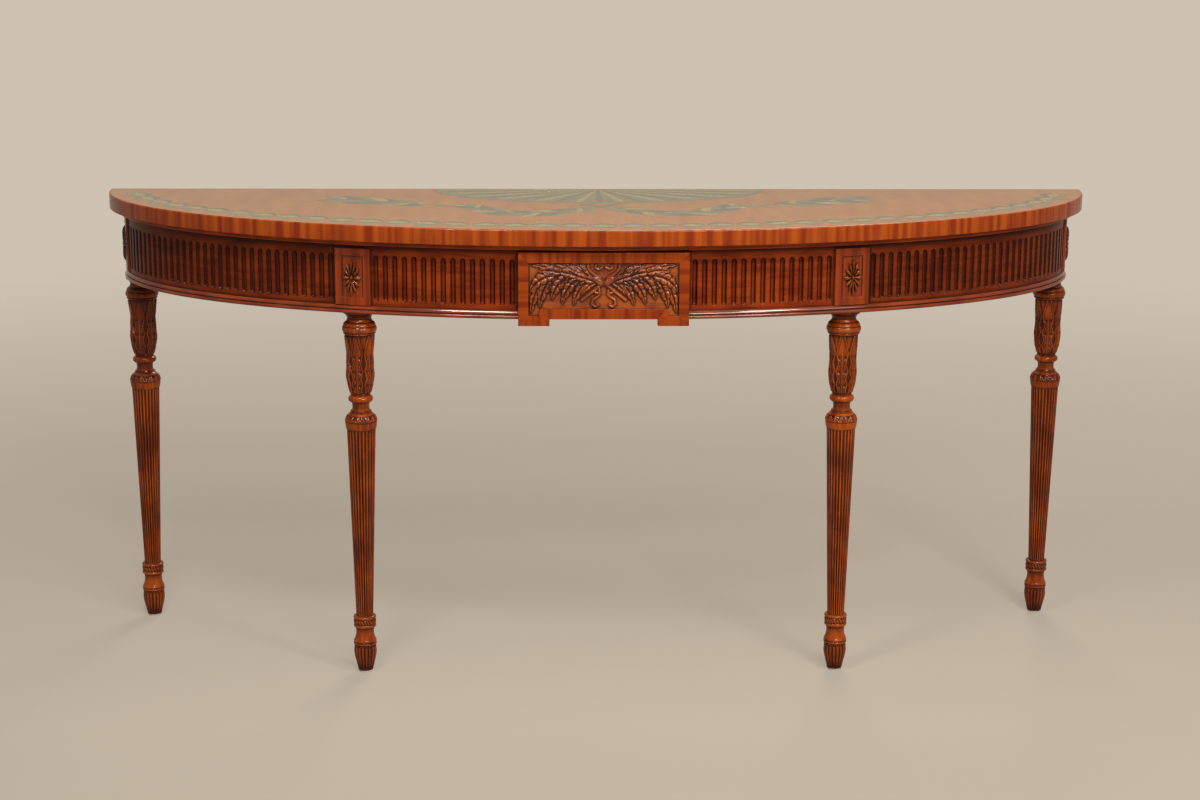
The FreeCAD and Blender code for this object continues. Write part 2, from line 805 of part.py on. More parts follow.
def make_rail(name, x_from, x_to, back_edge, ends, spans, extra_cuts):
    """A fluted curved rail between two posts, with a tenon in each."""
    ring = band(f"{name}_band", "apron_setback", RAIL_INSIDE, APRON_BOTTOM, "apron_height")
    arc = front_side(f"{name}_arc", ring, back_edge, APRON_BOTTOM, "apron_height", x_from, x_to)
    slots = [post_block(f"{name}_slot_{post.name}", post, 2 * TRIM_REACH, TRIM_REACH,
                        APRON_BOTTOM, "apron_height") for post, _ in ends]
    blank = cut(f"{name}_blank", arc, slots)
    tenons = [tenon_block(f"{name}_tenon_{post.name}", post, post.rail_end(way), way,
                          measure("tenon_length"), measure("tenon_root"), 0) for post, way in ends]
    plain = fuse(f"{name}_joined", [blank] + tenons)
    if extra_cuts:
        plain = cut(f"{name}_cut", plain, extra_cuts)
    doc.recompute()
    fluted = doc.addObject("Part::Feature", f"{name}_fluted")
    fluted.Shape = plain.Shape.cut(flute_cutters(spans))
    subpart(name, fluted)


def tablet_screw_places():
    """Where the tablet's screws start, under their heads, pointing to the front."""
    level = measure(TABLET_BOTTOM + " tablet_height/2")
    head = measure(TABLET_BACK_Y + " tablet_screw_grip")
    across = measure("tablet_screw_offset")
    return [facing(Vector(side * across, head, level), Vector(0, -1, 0)) for side in (-1, 1)]


def back_of(place, length):
    """The same place moved back along its Z."""
    return place.multiply(Placement(Vector(0, 0, -length), Rotation()))


def make_rails():
    """Front, left and right rails, and the straight one at the back."""
    front_left, front_right, back_left, back_right = POSTS
    tablet_edge = angle_where(measure("apron_setback"),
                              lambda point: point.x - measure("tablet_width/2"), 0.0, math.pi)
    seat = box("tablet_seat_cut", ("tablet_width glue_gap glue_gap", "top_depth/2", "apron_height"),
               ("-tablet_width/2 -glue_gap", TABLET_BACK_Y + " -top_depth/2", APRON_BOTTOM))
    screw_cuts = []
    for number, place in enumerate(tablet_screw_places()):
        screw_cuts.append(cylinder(f"tablet_screw_hole_{number}", "screw_radius glue_gap",
                                   "top_depth/2", place))
        screw_cuts.append(cylinder(f"tablet_screw_mouth_{number}", "screw_head_radius glue_gap",
                                   "rail_thickness", back_of(place, measure("rail_thickness"))))
    make_rail("rail_front", "-front_leg_offset", "front_leg_offset", BACK,
              [(front_left, 1), (front_right, -1)],
              [(post_side_angle(front_right, -1), tablet_edge),
               (math.pi - tablet_edge, post_side_angle(front_left, 1))], [seat] + screw_cuts)
    make_rail("rail_left", "-top_width/2", "-front_leg_offset", BACK + " -back_setback -post_width/2",
              [(front_left, -1), (back_left, 1)],
              [(post_side_angle(front_left, -1), post_side_angle(back_left, 1))], [])
    make_rail("rail_right", "front_leg_offset", "top_width/2", BACK + " -back_setback -post_width/2",
              [(front_right, 1), (back_right, -1)],
              [(post_side_angle(back_right, -1), post_side_angle(front_right, 1))], [])
    end = "top_width/2 -apron_setback -post_depth"
    plank = box("rail_back_plank", (end + " " + end, "back_rail_thickness", "back_rail_height"),
                (opposite(end), BACK_RAIL_FACE, UNDERSIDE + " -back_rail_height"))
    tenons = [back_tenon(f"rail_back_tenon_{side + 1}", side, measure("tenon_length"),
                         measure("tenon_root"), 0) for side in (-1, 1)]
    subpart("rail_back", fuse("rail_back_joined", [plank] + tenons))


def make_top():
    """Core board, painted veneer, curved edge band and the strip along the back edge."""
    core_height = "top_thickness -veneer_thickness"
    inside = "edge_band glue_gap"
    strip_front = BACK + " -edge_band"
    core = front_side("core_half", oval("core_oval", inside, UNDERSIDE, core_height), strip_front,
                      UNDERSIDE, core_height)
    holes = [cylinder(f"core_hole_{number}", "screw_radius glue_gap", "screw_bite glue_gap",
                      Placement(Vector(spot.x, spot.y, measure(UNDERSIDE)), Rotation()))
             for number, spot in enumerate(top_screw_spots())]
    subpart("top_core", cut("top_core_cut", core, holes))
    veneer = oval("veneer_oval", inside, UNDERSIDE + " " + core_height, "veneer_thickness")
    subpart("top_veneer", front_side("top_veneer_half", veneer, BACK, UNDERSIDE + " " + core_height,
                                     "veneer_thickness"))
    ring = band("edge_ring", "", "edge_band", UNDERSIDE, "top_thickness")
    half = front_side("edge_half", ring, BACK, UNDERSIDE, "top_thickness")
    subpart("top_edge_band", round_edges("edge_rounded", half, "edge_rounding",
                                         outer_edge_at("table_height", "")))
    strip = box("back_strip_bar", ("top_width", "edge_band", core_height),
                ("-top_width/2", strip_front, UNDERSIDE))
    within = oval("strip_oval", inside, UNDERSIDE, core_height)
    subpart("top_back_strip", common("back_strip_cut", strip, within))


def make_mouldings():
    """The bed moulding under the top and the two beads along the foot of the apron."""
    back_edge = BACK + " -back_setback"
    bed_bottom = UNDERSIDE + " -bed_mould_height"
    bed_inset = "apron_setback -bed_mould_projection"
    ring = band("bed_ring", bed_inset, "apron_setback -glue_gap", bed_bottom, "bed_mould_height")
    half = front_side("bed_half", ring, back_edge, bed_bottom, "bed_mould_height")
    subpart("bed_moulding", round_edges("bed_rounded", half, "bed_mould_rounding",
                                        outer_edge_at(bed_bottom, bed_inset)))
    nose_top = APRON_BOTTOM + " bead_nose_height"
    nose_inset = "apron_setback -bead_projection"
    for side, x_from, x_to in (("left", "-top_width/2", "-tablet_width/2 -glue_gap"),
                               ("right", "tablet_width/2 glue_gap", "top_width/2")):
        nose_ring = band(f"nose_ring_{side}", nose_inset, "apron_setback -glue_gap",
                         APRON_BOTTOM, "bead_nose_height")
        nose_arc = front_side(f"nose_arc_{side}", nose_ring, back_edge, APRON_BOTTOM,
                              "bead_nose_height", x_from, x_to)
        pick_low = outer_edge_at(APRON_BOTTOM, nose_inset)
        pick_high = outer_edge_at(nose_top, nose_inset)
        nose = round_edges(f"nose_{side}", nose_arc, "bead_rounding",
                           lambda edge: pick_low(edge) or pick_high(edge))
        strip_ring = band(f"strip_ring_{side}", "apron_setback -bead_strip_projection",
                          "apron_setback -glue_gap", nose_top, "bead_strip_height")
        strip = front_side(f"strip_arc_{side}", strip_ring, back_edge, nose_top,
                           "bead_strip_height", x_from, x_to)
        subpart(f"bead_{side}", fuse(f"bead_fuse_{side}", [nose, strip]))


def tablet_outline(inset):
    """The stepped outline of the tablet, drawn in by the inset: feet hang at its lower corners."""
    half = less("tablet_width/2", inset)
    top = less(UNDERSIDE + " -tablet_drop", inset)
    bottom = TABLET_BOTTOM + " " + inset
    foot_bottom = bottom + " -tablet_foot_drop"
    foot_inside = "tablet_width/2 -tablet_foot_width " + inset
    left = opposite(half)
    left_foot = opposite(foot_inside)
    return [(left, top), (left, foot_bottom), (left_foot, foot_bottom), (left_foot, bottom),
            (foot_inside, bottom), (foot_inside, foot_bottom), (half, foot_bottom), (half, top)]


def make_tablet():
    """The stepped block on the front rail and the carved panel in its sunk field."""
    body = doc.addObject("PartDesign::Body", "tablet_body")
    seat = opposite(TABLET_BACK_Y)
    sketch = sketch_on(body, "tablet_sketch", "XZ_Plane", seat)
    outline(sketch, tablet_outline(""))
    block = body.newObject("PartDesign::Pad", "tablet_pad")
    block.Profile = sketch
    tie(block, "Length", "tablet_seat tablet_projection")
    field = sketch_on(body, "tablet_field_sketch", "XZ_Plane", seat + " tablet_seat tablet_projection")
    outline(field, tablet_outline("tablet_border"))
    recess = body.newObject("PartDesign::Pocket", "tablet_field")
    recess.Profile = field
    tie(recess, "Length", "tablet_recess")
    holes = [cylinder(f"tablet_pilot_{number}", "screw_radius glue_gap",
                      "tablet_screw_grip tablet_screw_bite glue_gap", place)
             for number, place in enumerate(tablet_screw_places())]
    subpart("tablet", cut("tablet_cut", body, holes))
    ground_at = seat + " tablet_seat tablet_projection -tablet_recess"
    panel = doc.addObject("PartDesign::Body", "carved_panel")
    ground = sketch_on(panel, "ground_sketch", "XZ_Plane", ground_at)
    outline(ground, tablet_outline("tablet_border glue_gap"))
    board = panel.newObject("PartDesign::Pad", "ground_pad")
    board.Profile = ground
    tie(board, "Length", "carving_ground")
    raised = fuse("carving_raised", [panel] + carved_leaves(ground_at))
    behind = box("carving_behind", ("tablet_width", "carving_relief", "tablet_height tablet_foot_drop"),
                 ("-tablet_width/2", opposite(ground_at), TABLET_BOTTOM + " -tablet_foot_drop"))
    subpart("tablet_carving", cut("tablet_carving_cut", raised, [behind]))


# Leaves of one half of the spray: millimetres along the panel and up from its middle, and the
# turn in degrees from the panel's length.
SPRAY = [(26, 20, 40), (44, -3, -10), (56, 22, 28), (74, 4, 14), (80, -20, -26), (92, 24, 40),
         (104, 2, -6), (46, -27, -38), (22, -22, -60)]
STEM_TURN = 16  # degrees that the crossed stems rise along the panel


def spindle(name, place, length, radius):
    """A pointed bar, thickest in the middle, along the X of its place."""
    halves = []
    for way in (-1, 1):
        cone = doc.addObject("Part::Cone", f"{name}_{way + 1}")
        tie(cone, "Radius1", radius)
        cone.Radius2 = 0
        tie(cone, "Height", length + "/2")
        cone.Placement = place.multiply(Placement(Vector(), Rotation(Vector(0, 1, 0), way * 90)))
        halves.append(cone)
    return halves


def carved_leaves(ground_at):
    """Pointed leaves either side of two crossed stems, half sunk in the panel's ground."""
    middle = Vector(0, -measure(ground_at + " carving_ground"), measure(TABLET_BOTTOM + " tablet_height/2"))
    centre = facing(middle, Vector(0, -1, 0))
    pieces = []
    for side in (-1, 1):
        for number, (along, rise, turn) in enumerate(SPRAY):
            spot = Placement(Vector(side * along, rise, 0), Rotation(Vector(0, 0, 1), side * turn))
            pieces += spindle(f"leaf_{side + 1}_{number}", centre.multiply(spot), "leaf_length",
                              "carving_relief")
        slope = Placement(Vector(), Rotation(Vector(0, 0, 1), side * STEM_TURN))
        pieces += spindle(f"stem_{side + 1}", centre.multiply(slope), "stem_length", "stem_radius")
    return pieces


def make_bearers():
    """Two boards from the front rail to the back rail, under the top."""
    for side, sign in (("left", "-"), ("right", "")):
        edge = f"{sign}bearer_offset -bearer_thickness/2"
        board = box(f"bearer_board_{side}", ("bearer_thickness", "top_depth", "bearer_height"),
                    (edge, BACK_RAIL_FACE + " -top_depth", UNDERSIDE + " -bearer_height"))
        inside = oval(f"bearer_oval_{side}", RAIL_INSIDE + " glue_gap",
                      UNDERSIDE + " -bearer_height", "bearer_height")
        subpart(f"bearer_{side}", common(f"bearer_cut_{side}", board, inside))


def make_corner_blocks():
    """Three-cornered blocks glued where the back rail meets the back posts."""
    for side, sign, turn in (("left", -1, -90), ("right", 1, 180)):
        body = doc.addObject("PartDesign::Body", f"corner_block_{side}")
        sketch = sketch_on(body, f"corner_sketch_{side}", "XY_Plane", UNDERSIDE + " -corner_block_height")
        outline(sketch, [("", ""), ("corner_block_leg", ""), ("", "corner_block_leg")])
        pad = body.newObject("PartDesign::Pad", f"corner_pad_{side}")
        pad.Profile = sketch
        tie(pad, "Length", "corner_block_height")
        corner = Vector(sign * back_rail_end(), measure(BACK_RAIL_FACE), 0)
        body.Placement = Placement(corner, Rotation(Vector(0, 0, 1), turn))
        subpart(f"corner_block_{side}", body)


def curved_cleat_frames():
    """Frames of the cleats on the inside of the curved rails, by name."""
    inset = measure(RAIL_INSIDE + " glue_gap")
    frames = {}
    offsets = {"front": "front_cleat_offset", "side": "top_width/2 -side_cleat_inset"}
    for place, offset in offsets.items():
        angle = math.acos(measure(offset) / (measure("top_width/2") - inset))
        for side, turn in (("right", angle), ("left", math.pi - angle)):
            frames[f"{place}_{side}"] = frame_at(rim_point(inset, turn), outward(inset, turn))
    return frames


def top_screw_spots():
    """Plan points of the screws that hold the top, one in each curved cleat and three at the back."""
    middle = Vector(-measure("cleat_size/2"), 0, 0)
    spots = [frame.multVec(middle) for frame in curved_cleat_frames().values()]
    spacing = measure(BACK_CLEAT_HALF + " -back_cleat_end")
    y = measure(BACK_RAIL_FACE + " -cleat_size/2")
    return spots + [Vector(step * spacing, y, 0) for step in (-1, 0, 1)]


def make_cleats():
    """Cleats inside the rails that the top is screwed to."""
    bottom = UNDERSIDE + " -cleat_size"
    holes = [cylinder(f"cleat_hole_{number}", "screw_radius glue_gap", "cleat_size",
                      Placement(Vector(spot.x, spot.y, measure(bottom)), Rotation()))
             for number, spot in enumerate(top_screw_spots())]
    for name, frame in curved_cleat_frames().items():
        bar = box(f"cleat_bar_{name}", ("cleat_size cleat_size", "cleat_length", "cleat_size"),
                  ("-cleat_size", "-cleat_length/2", bottom), frame)
        inside = oval(f"cleat_oval_{name}", RAIL_INSIDE + " glue_gap", bottom, "cleat_size")
        bent = common(f"cleat_arc_{name}", bar, inside)
        subpart(f"cleat_{name}", cut(f"cleat_cut_{name}", bent, holes))
    bar = box("cleat_bar_back", (BACK_CLEAT_HALF + " " + BACK_CLEAT_HALF, "cleat_size", "cleat_size"),
              (opposite(BACK_CLEAT_HALF), BACK_RAIL_FACE + " -cleat_size", bottom))
    subpart("cleat_back", cut("cleat_cut_back", bar, holes))


def screw(name, place, length):
    """A round-headed screw whose shank starts at the place and runs along its Z."""
    head = cylinder(f"{name}_head", "screw_head_radius", "screw_head_height",
                    back_of(place, measure("screw_head_height")))
    shank = cylinder(f"{name}_shank", "screw_radius", length, place)
    return fuse(name, [head, shank])


def make_screws():
    """Screws through the cleats into the top, and through the front rail into the tablet."""
    bottom = measure(UNDERSIDE + " -cleat_size")
    upward = [screw(f"top_screw_{number}", Placement(Vector(spot.x, spot.y, bottom), Rotation()),
                    "cleat_size screw_bite") for number, spot in enumerate(top_screw_spots())]
    forward = [screw(f"tablet_screw_{number}", place, "tablet_screw_grip tablet_screw_bite")
               for number, place in enumerate(tablet_screw_places())]
    for label, screws in (("top_screws", upward), ("tablet_screws", forward)):
        group = doc.addObject("Part::Compound", label + "_group")
        group.Links = screws
        subpart(label, group)


for post in POSTS:
    make_leg(post)
    make_glide(post)
    make_post(post)
    make_die(post)
    make_patera(post)
make_rails()
make_top()
make_mouldings()
make_tablet()
make_bearers()
make_corner_blocks()
make_cleats()
make_screws()
doc.recompute()

for feature in doc.Objects:
    if "Invalid" in feature.State or "Error" in feature.State:
        raise RuntimeError(f"{feature.Label} failed: {feature.State}")
for label, feature in SUBPARTS.items():
    if feature.Shape.isNull() or not feature.Shape.isValid():
        raise RuntimeError(f"{label} has no valid shape")

os.makedirs("parts", exist_ok=True)
for label, feature in SUBPARTS.items():
    feature.Shape.exportStep(f"parts/{label}.step")
    print(label, len(feature.Shape.Solids), round(feature.Shape.Volume / 1000, 2), "cm3")
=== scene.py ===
import itertools
import math

import bmesh
import bpy
import numpy as np
from mathutils import Matrix


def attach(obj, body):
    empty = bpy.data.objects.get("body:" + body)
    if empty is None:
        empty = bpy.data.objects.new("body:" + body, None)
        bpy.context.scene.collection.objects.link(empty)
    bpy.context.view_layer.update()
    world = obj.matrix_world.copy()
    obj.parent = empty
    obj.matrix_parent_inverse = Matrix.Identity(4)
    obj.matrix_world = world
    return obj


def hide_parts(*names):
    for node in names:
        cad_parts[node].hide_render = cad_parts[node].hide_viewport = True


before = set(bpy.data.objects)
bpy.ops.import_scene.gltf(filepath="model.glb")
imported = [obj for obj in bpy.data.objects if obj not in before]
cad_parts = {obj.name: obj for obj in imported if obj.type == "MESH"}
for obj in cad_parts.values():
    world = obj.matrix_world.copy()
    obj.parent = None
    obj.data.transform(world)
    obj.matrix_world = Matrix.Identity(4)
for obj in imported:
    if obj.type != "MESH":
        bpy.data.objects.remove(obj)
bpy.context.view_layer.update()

# Lengths are in millimetres until a mesh is made. The plan is a half ellipse about the middle of
# the straight back edge; an inset draws it in from the rim of the top. FIT is the gap where pieces meet.
MM = 0.001
HALF_WIDTH = 930.0
DEPTH = 490.0
BACK_Y = 245.0
TOP_Z = 840.0
UNDERSIDE = 811.5
APRON_BOTTOM = 678.0
APRON_FACE = 30.0
APRON_INSIDE = 62.0
BACK_SETBACK = 11.0
BAND_THICK = 3.0
FIT = 0.2
TURNS = np.linspace(0, np.pi, 6001)


def rim(inset, turn):
    """The ellipse's plan points at an inset: half width by cos, depth by sin, from +X by the front to -X."""
    turn = np.asarray(turn, float)
    return np.stack([(HALF_WIDTH - inset) * np.cos(turn), BACK_Y - (DEPTH - inset) * np.sin(turn)], -1)


def rim_normal(inset, turn):
    """Outward unit normals there: the gradient of the ellipse's equation, scaled to one."""
    turn = np.asarray(turn, float)
    slope = np.stack([np.cos(turn) / (HALF_WIDTH - inset), -np.sin(turn) / (DEPTH - inset)], -1)
    return slope / np.linalg.norm(slope, axis=-1, keepdims=True)


def lengths_along(points):
    """Length along a line up to each of its points: chords added up."""
    chords = np.linalg.norm(np.diff(points, axis=0), axis=1)
    return np.concatenate([[0.0], np.cumsum(chords)])


FACE_RUN = lengths_along(rim(APRON_FACE, TURNS))
EDGE_RUN = lengths_along(rim(0.0, TURNS))


def smooth(low, high, x):
    """0 below low, 1 above high, and a cubic between; it falls where low is the larger."""
    share = np.clip((np.asarray(x, float) - low) / (high - low), 0, 1)
    return share * share * (3 - 2 * share)


def bell(x, width):
    """A bell curve that is 1 at 0 and about a third at one width."""
    return np.exp(-np.square(np.asarray(x, float) / width))


def dome(x):
    """A half circle that is 1 at 0 and falls to 0 at one to either side."""
    return np.sqrt(np.clip(1 - np.square(x), 0, 1))


def beyond(x, low, high):
    """How far x lies beyond a range, and 0 inside it."""
    return np.maximum(0, np.maximum(x - high, low - x))


def full_circle(count):
    """Turns of equal steps once round."""
    return np.linspace(0, 2 * np.pi, count, endpoint=False)


def quarter_turn(way):
    """Plan directions turned a quarter to the left."""
    way = np.asarray(way, float)
    return np.stack([-way[..., 1], way[..., 0]], -1)


def raised(plan, heights):
    """Plan points given their heights."""
    return np.concatenate([plan, np.broadcast_to(heights, plan.shape[:-1])[..., None]], -1)


def turned(z, r, turn):
    """Points round an upright axis: the radius times cos and sin of the turn, at their heights."""
    return raised(np.stack([r * np.cos(turn), r * np.sin(turn)], -1), z)


class Post:
    """A leg's place: its axis, the way along its block's face, and the turn of its die on the apron."""

    def __init__(self, name, axis, normal, turn):
        self.name = name
        self.axis = np.array(axis)
        self.along = quarter_turn(normal)
        self.turn = turn

    def turn_across(self, inset, across):
        """The turn at which the ellipse passes a distance along the apron from the leg's axis."""
        near = TURNS[np.abs(TURNS - self.turn) < np.pi / 8]
        offsets = (rim(inset, near) - self.axis) @ self.along
        return np.interp(across, offsets[::-1], near[::-1])


FRONT_TURN = math.acos(441 / 900)
BACK_TURN = math.asin(43.5 / 460)
POSTS = [
    Post("front_left", (-433.27, -129.07), (-0.2761, -0.9611), np.pi - FRONT_TURN),
    Post("front_right", (433.27, -129.07), (0.2761, -0.9611), FRONT_TURN),
    Post("back_left", (-872.0, 201.5), (-1.0, 0.0), np.pi - BACK_TURN),
    Post("back_right", (872.0, 201.5), (1.0, 0.0), BACK_TURN),
]
FRONT_LEFT, FRONT_RIGHT, BACK_LEFT, BACK_RIGHT = POSTS
POST_HALF = 32.5


def put(name, data):
    """A new object for a mesh, a lamp or a camera, put in the scene."""
    made = bpy.data.objects.new(name, data)
    bpy.context.scene.collection.objects.link(made)
    return made


class Skin:
    """Grids of points gathered into one mesh, with an attribute of glazing and painted shade and a grain UV
    map in metres.
    """

    def __init__(self):
        self.points = []
        self.glaze = []
        self.grain = []
        self.faces = []
        self.count = 0

    def grid(self, points, glaze=0.0, along=0.0, across=0.0, loop_rows=False, loop_columns=False):
        """Quads over points[row, column]; a looped side joins its last line to its first."""
        shape = points.shape[:2]
        index = self.count + np.arange(shape[0] * shape[1]).reshape(shape)
        self.count += index.size
        self.points.append(points.reshape(-1, 3))
        glaze, along, across = (np.broadcast_to(value, shape).reshape(-1) for value in (glaze, along, across))
        self.glaze.append(glaze)
        self.grain.append(np.stack([along, across], -1))
        net = np.vstack([index, index[:1]]) if loop_rows else index
        net = np.hstack([net, net[:, :1]]) if loop_columns else net
        quads = np.stack([net[:-1, :-1], net[:-1, 1:], net[1:, 1:], net[1:, :-1]], -1)
        self.faces += quads.reshape(-1, 4).tolist()
        return index

    def cap(self, loop):
        """One flat face over a loop of point numbers."""
        self.faces.append(np.asarray(loop).tolist())

    def tube(self, points, glaze=0.0, along=0.0, across=0.0):
        """A grid closed round its columns, with a flat face over its first row and its last."""
        index = self.grid(points, glaze, along, across, loop_columns=True)
        self.cap(index[0])
        self.cap(index[-1])
        return self

    def block(self, face, back, *layers):
        """A grid for a face, walls from its border to the border of a back, and one flat face behind."""
        box = np.pad(back, ((1, 1), (1, 1), (0, 0)), mode="edge")
        box[1:-1, 1:-1] = face
        spread = [np.pad(np.broadcast_to(layer, face.shape[:2]), 1, mode="edge") for layer in layers]
        index = self.grid(box, *spread)
        self.cap(np.concatenate([index[0, :-1], index[:-1, -1], index[-1, :0:-1], index[:0:-1, 0]]))
        return self

    def mesh(self, name, material):
        """The grids as one mesh in metres, with a finish."""
        made = bpy.data.meshes.new(name)
        made.from_pydata(np.concatenate(self.points) * MM, [], self.faces)
        made.materials.append(material)
        return made

    def piece(self, name, material, slot, nodes=(), closed=True, crease=48):
        """The finished object: welded, faces outwards, smooth up to the crease angle, riding on the table."""
        mesh = self.mesh(name, material)
        # Each point's glaze and painted shade: real glaze in hollows, and shade painted in where less light
        # falls.
        mesh.attributes.new("glaze", "FLOAT", "POINT").data.foreach_set("value", np.concatenate(self.glaze))
        corners = np.empty(len(mesh.loops), np.int32)
        mesh.loops.foreach_get("vertex_index", corners)
        grain = np.concatenate(self.grain)[corners] * MM
        mesh.uv_layers.new(name="grain").data.foreach_set("uv", grain.reshape(-1))
        if closed:
            work = bmesh.new()
            work.from_mesh(mesh)
            bmesh.ops.remove_doubles(work, verts=work.verts, dist=1e-6)
            bmesh.ops.recalc_face_normals(work, faces=work.faces)
            work.to_mesh(mesh)
            work.free()
        mesh.shade_smooth()
        mesh.set_sharp_from_angle(angle=math.radians(crease))
        made = put(name, mesh)
        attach(made, "root")
        if nodes:
            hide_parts(*nodes)


# Finishes
# Dark colours mixed in by the attribute of glaze and painted shade.
GLAZE_AND_SHADE = "1a0805"
VENEER_GLAZE_AND_SHADE = "2a120b"
FULL_LACQUER = {"IOR": 1.5, "Specular IOR Level": 0.0, "Coat Weight": 1.0, "Coat Roughness": 0.07}


def colour(code):
    """An sRGB hex colour as linear RGBA."""
    srgb = np.array([int(code[place:place + 2], 16) for place in (0, 2, 4)]) / 255
    linear = np.where(srgb <= 0.04045, srgb / 12.92, ((srgb + 0.055) / 1.055) ** 2.4)
    return (*linear.tolist(), 1.0)


def add(tree, kind, sockets=None, **settings):
    """One node with its settings; each socket named gets a value, or a link from another socket."""
    made = tree.nodes.new("ShaderNode" + kind)
    for name, value in settings.items():
        setattr(made, name, value)
    for name, value in (sockets or {}).items():
        if isinstance(value, bpy.types.NodeSocket):
            tree.links.new(value, made.inputs[name])
        else:
            made.inputs[name].default_value = value
    return made


def new_finish(name, source="object"):
    """An empty material, its node tree, and each point's place: the object's own, or that on a UV map."""
    made = bpy.data.materials.new(name)
    made.use_nodes = True
    tree = made.node_tree
    tree.nodes.clear()
    if source == "object":
        return made, tree, add(tree, "TexCoord").outputs["Object"]
    return made, tree, add(tree, "UVMap", uv_map=source).outputs["UV"]


def surface(tree, base, value, low, high, sockets):
    """The surface shader: a base colour, a roughness from low to high by a value, and other sockets."""
    rough = add(tree, "MapRange", {"Value": value, "To Min": low, "To Max": high})
    shader = add(tree, "BsdfPrincipled", {"Base Color": base, "Roughness": rough.outputs[0], **sockets})
    add(tree, "OutputMaterial", {"Surface": shader.outputs["BSDF"]})


def figure(tree, place, sizes, sockets):
    """Wood figure: noise stretched to three sizes in millimetres."""
    stretch = add(tree, "Mapping", {"Vector": place, "Scale": [1 / (size * MM) for size in sizes]})
    noise = add(tree, "TexNoise", {"Vector": stretch.outputs["Vector"], "Scale": 1.0, **sockets})
    return noise.outputs["Fac"]


def toned(tree, value, low, high, first, second, curve="LINEAR"):
    """Two colours mixed by a value: the first one up to low, the second one from high on."""
    share = add(tree, "MapRange", {"Value": value, "From Min": low, "From Max": high},
                interpolation_type=curve)
    mixed = add(tree, "MixRGB", {"Fac": share.outputs[0], "Color1": colour(first), "Color2": colour(second)})
    return mixed.outputs[0]


def lacquered_mahogany(name, source, sizes, light, dark, gloss=0.2, satin=0.07):
    """Mahogany, carved or moulded, stained, with dark glazing wiped into its hollows, painted shade, and a
    gloss lacquer.

    The grain is noise stretched to the three sizes in millimetres; the attribute of glazing and painted shade
    darkens hollows and shaded places.
    """
    made, tree, place = new_finish(name, source)
    streaks = figure(tree, place, sizes, {"Detail": 5.0, "Roughness": 0.62, "Distortion": 0.35})
    clouds = add(tree, "TexNoise", {"Vector": place, "Scale": 1 / (70 * MM), "Detail": 2.0})
    mixed = add(tree, "Math", {0: streaks, 1: clouds.outputs["Fac"]}, operation="ADD")
    wood = toned(tree, mixed.outputs[0], 0.75, 1.25, dark, light, "SMOOTHSTEP")
    # The attribute of glaze and painted shade.
    hollow = add(tree, "Attribute", attribute_name="glaze")
    specks = add(tree, "TexNoise", {"Vector": place, "Scale": 1 / (3 * MM), "Detail": 3.0})
    wiped = add(tree, "MapRange", {"Value": specks.outputs["Fac"], "From Min": 0.3, "From Max": 0.7,
                                   "To Min": 0.75, "To Max": 1.0})
    amount = add(tree, "Math", {0: hollow.outputs["Fac"], 1: wiped.outputs[0]}, operation="MULTIPLY",
                 use_clamp=True)
    glazed_and_shaded = add(tree, "MixRGB", {"Fac": amount.outputs[0], "Color1": wood, "Color2": colour(GLAZE_AND_SHADE)})
    pores = add(tree, "Bump", {"Height": streaks, "Strength": 0.12, "Distance": 0.3 * MM})
    surface(tree, glazed_and_shaded.outputs[0], specks.outputs["Fac"], 0.24, 0.42,
            {"Normal": pores.outputs["Normal"], "IOR": 1.5, "Specular IOR Level": 0.05,
             "Coat Weight": gloss, "Coat Roughness": satin})
    return made


def crossbanded_veneer(name, stripe, light, middle, dark, gloss=0.15):
    """Mahogany veneer laid with its grain across the band: broad and fine stripes square to the edge.

    The UV map runs along the band, so noise is short along it and long across it.
    """
    made, tree, place = new_finish(name, "grain")
    stripes = figure(tree, place, (stripe, 420, 1), {"Detail": 1.5, "Roughness": 0.5, "Distortion": 0.05})
    lines = figure(tree, place, (2.2, 150, 1), {"Detail": 4.0, "Roughness": 0.6})
    ground = toned(tree, stripes, 0.36, 0.64, dark, light, "SMOOTHSTEP")
    thread = add(tree, "MapRange", {"Value": lines, "From Min": 0.35, "From Max": 0.65,
                                    "To Min": 0.0, "To Max": 0.55})
    wood = add(tree, "MixRGB", {"Fac": thread.outputs[0], "Color1": ground, "Color2": colour(middle)})
    # Painted shade from the attribute: along recesses and beside edges.
    hollow = add(tree, "Attribute", attribute_name="glaze")
    glazed_and_shaded = add(tree, "MixRGB", {"Fac": hollow.outputs["Fac"], "Color1": wood.outputs[0],
                                  "Color2": colour(VENEER_GLAZE_AND_SHADE)})
    surface(tree, glazed_and_shaded.outputs[0], lines, 0.2, 0.38,
            {"IOR": 1.5, "Specular IOR Level": 0.12, "Coat Weight": gloss, "Coat Roughness": 0.08})
    return made


def lacquered_satinwood(name, light, dark):
    """Satinwood veneer under gloss lacquer: a close golden grain with a rippled figure across it."""
    made, tree, place = new_finish(name)
    streaks = figure(tree, place, (160, 5, 1000), {"Detail": 5.0, "Roughness": 0.6, "Distortion": 0.3})
    ripple = figure(tree, place, (26, 120, 1000), {"Detail": 2.0})
    both = add(tree, "Math", {0: streaks, 1: ripple}, operation="ADD")
    wood = toned(tree, both.outputs[0], 0.7, 1.3, dark, light)
    surface(tree, wood, streaks, 0.22, 0.34, FULL_LACQUER)
    return made


def oil_paint(name, light, dark):
    """Oil colour brushed thin on the veneer and lacquered over: streaky, with the strokes a little uneven."""
    made, tree, place = new_finish(name)
    brushed = add(tree, "TexNoise", {"Vector": place, "Scale": 1 / (9 * MM), "Detail": 4.0,
                                     "Roughness": 0.65})
    paint = toned(tree, brushed.outputs["Fac"], 0.36, 0.64, dark, light)
    surface(tree, paint, brushed.outputs["Fac"], 0.24, 0.38, FULL_LACQUER)
    return made


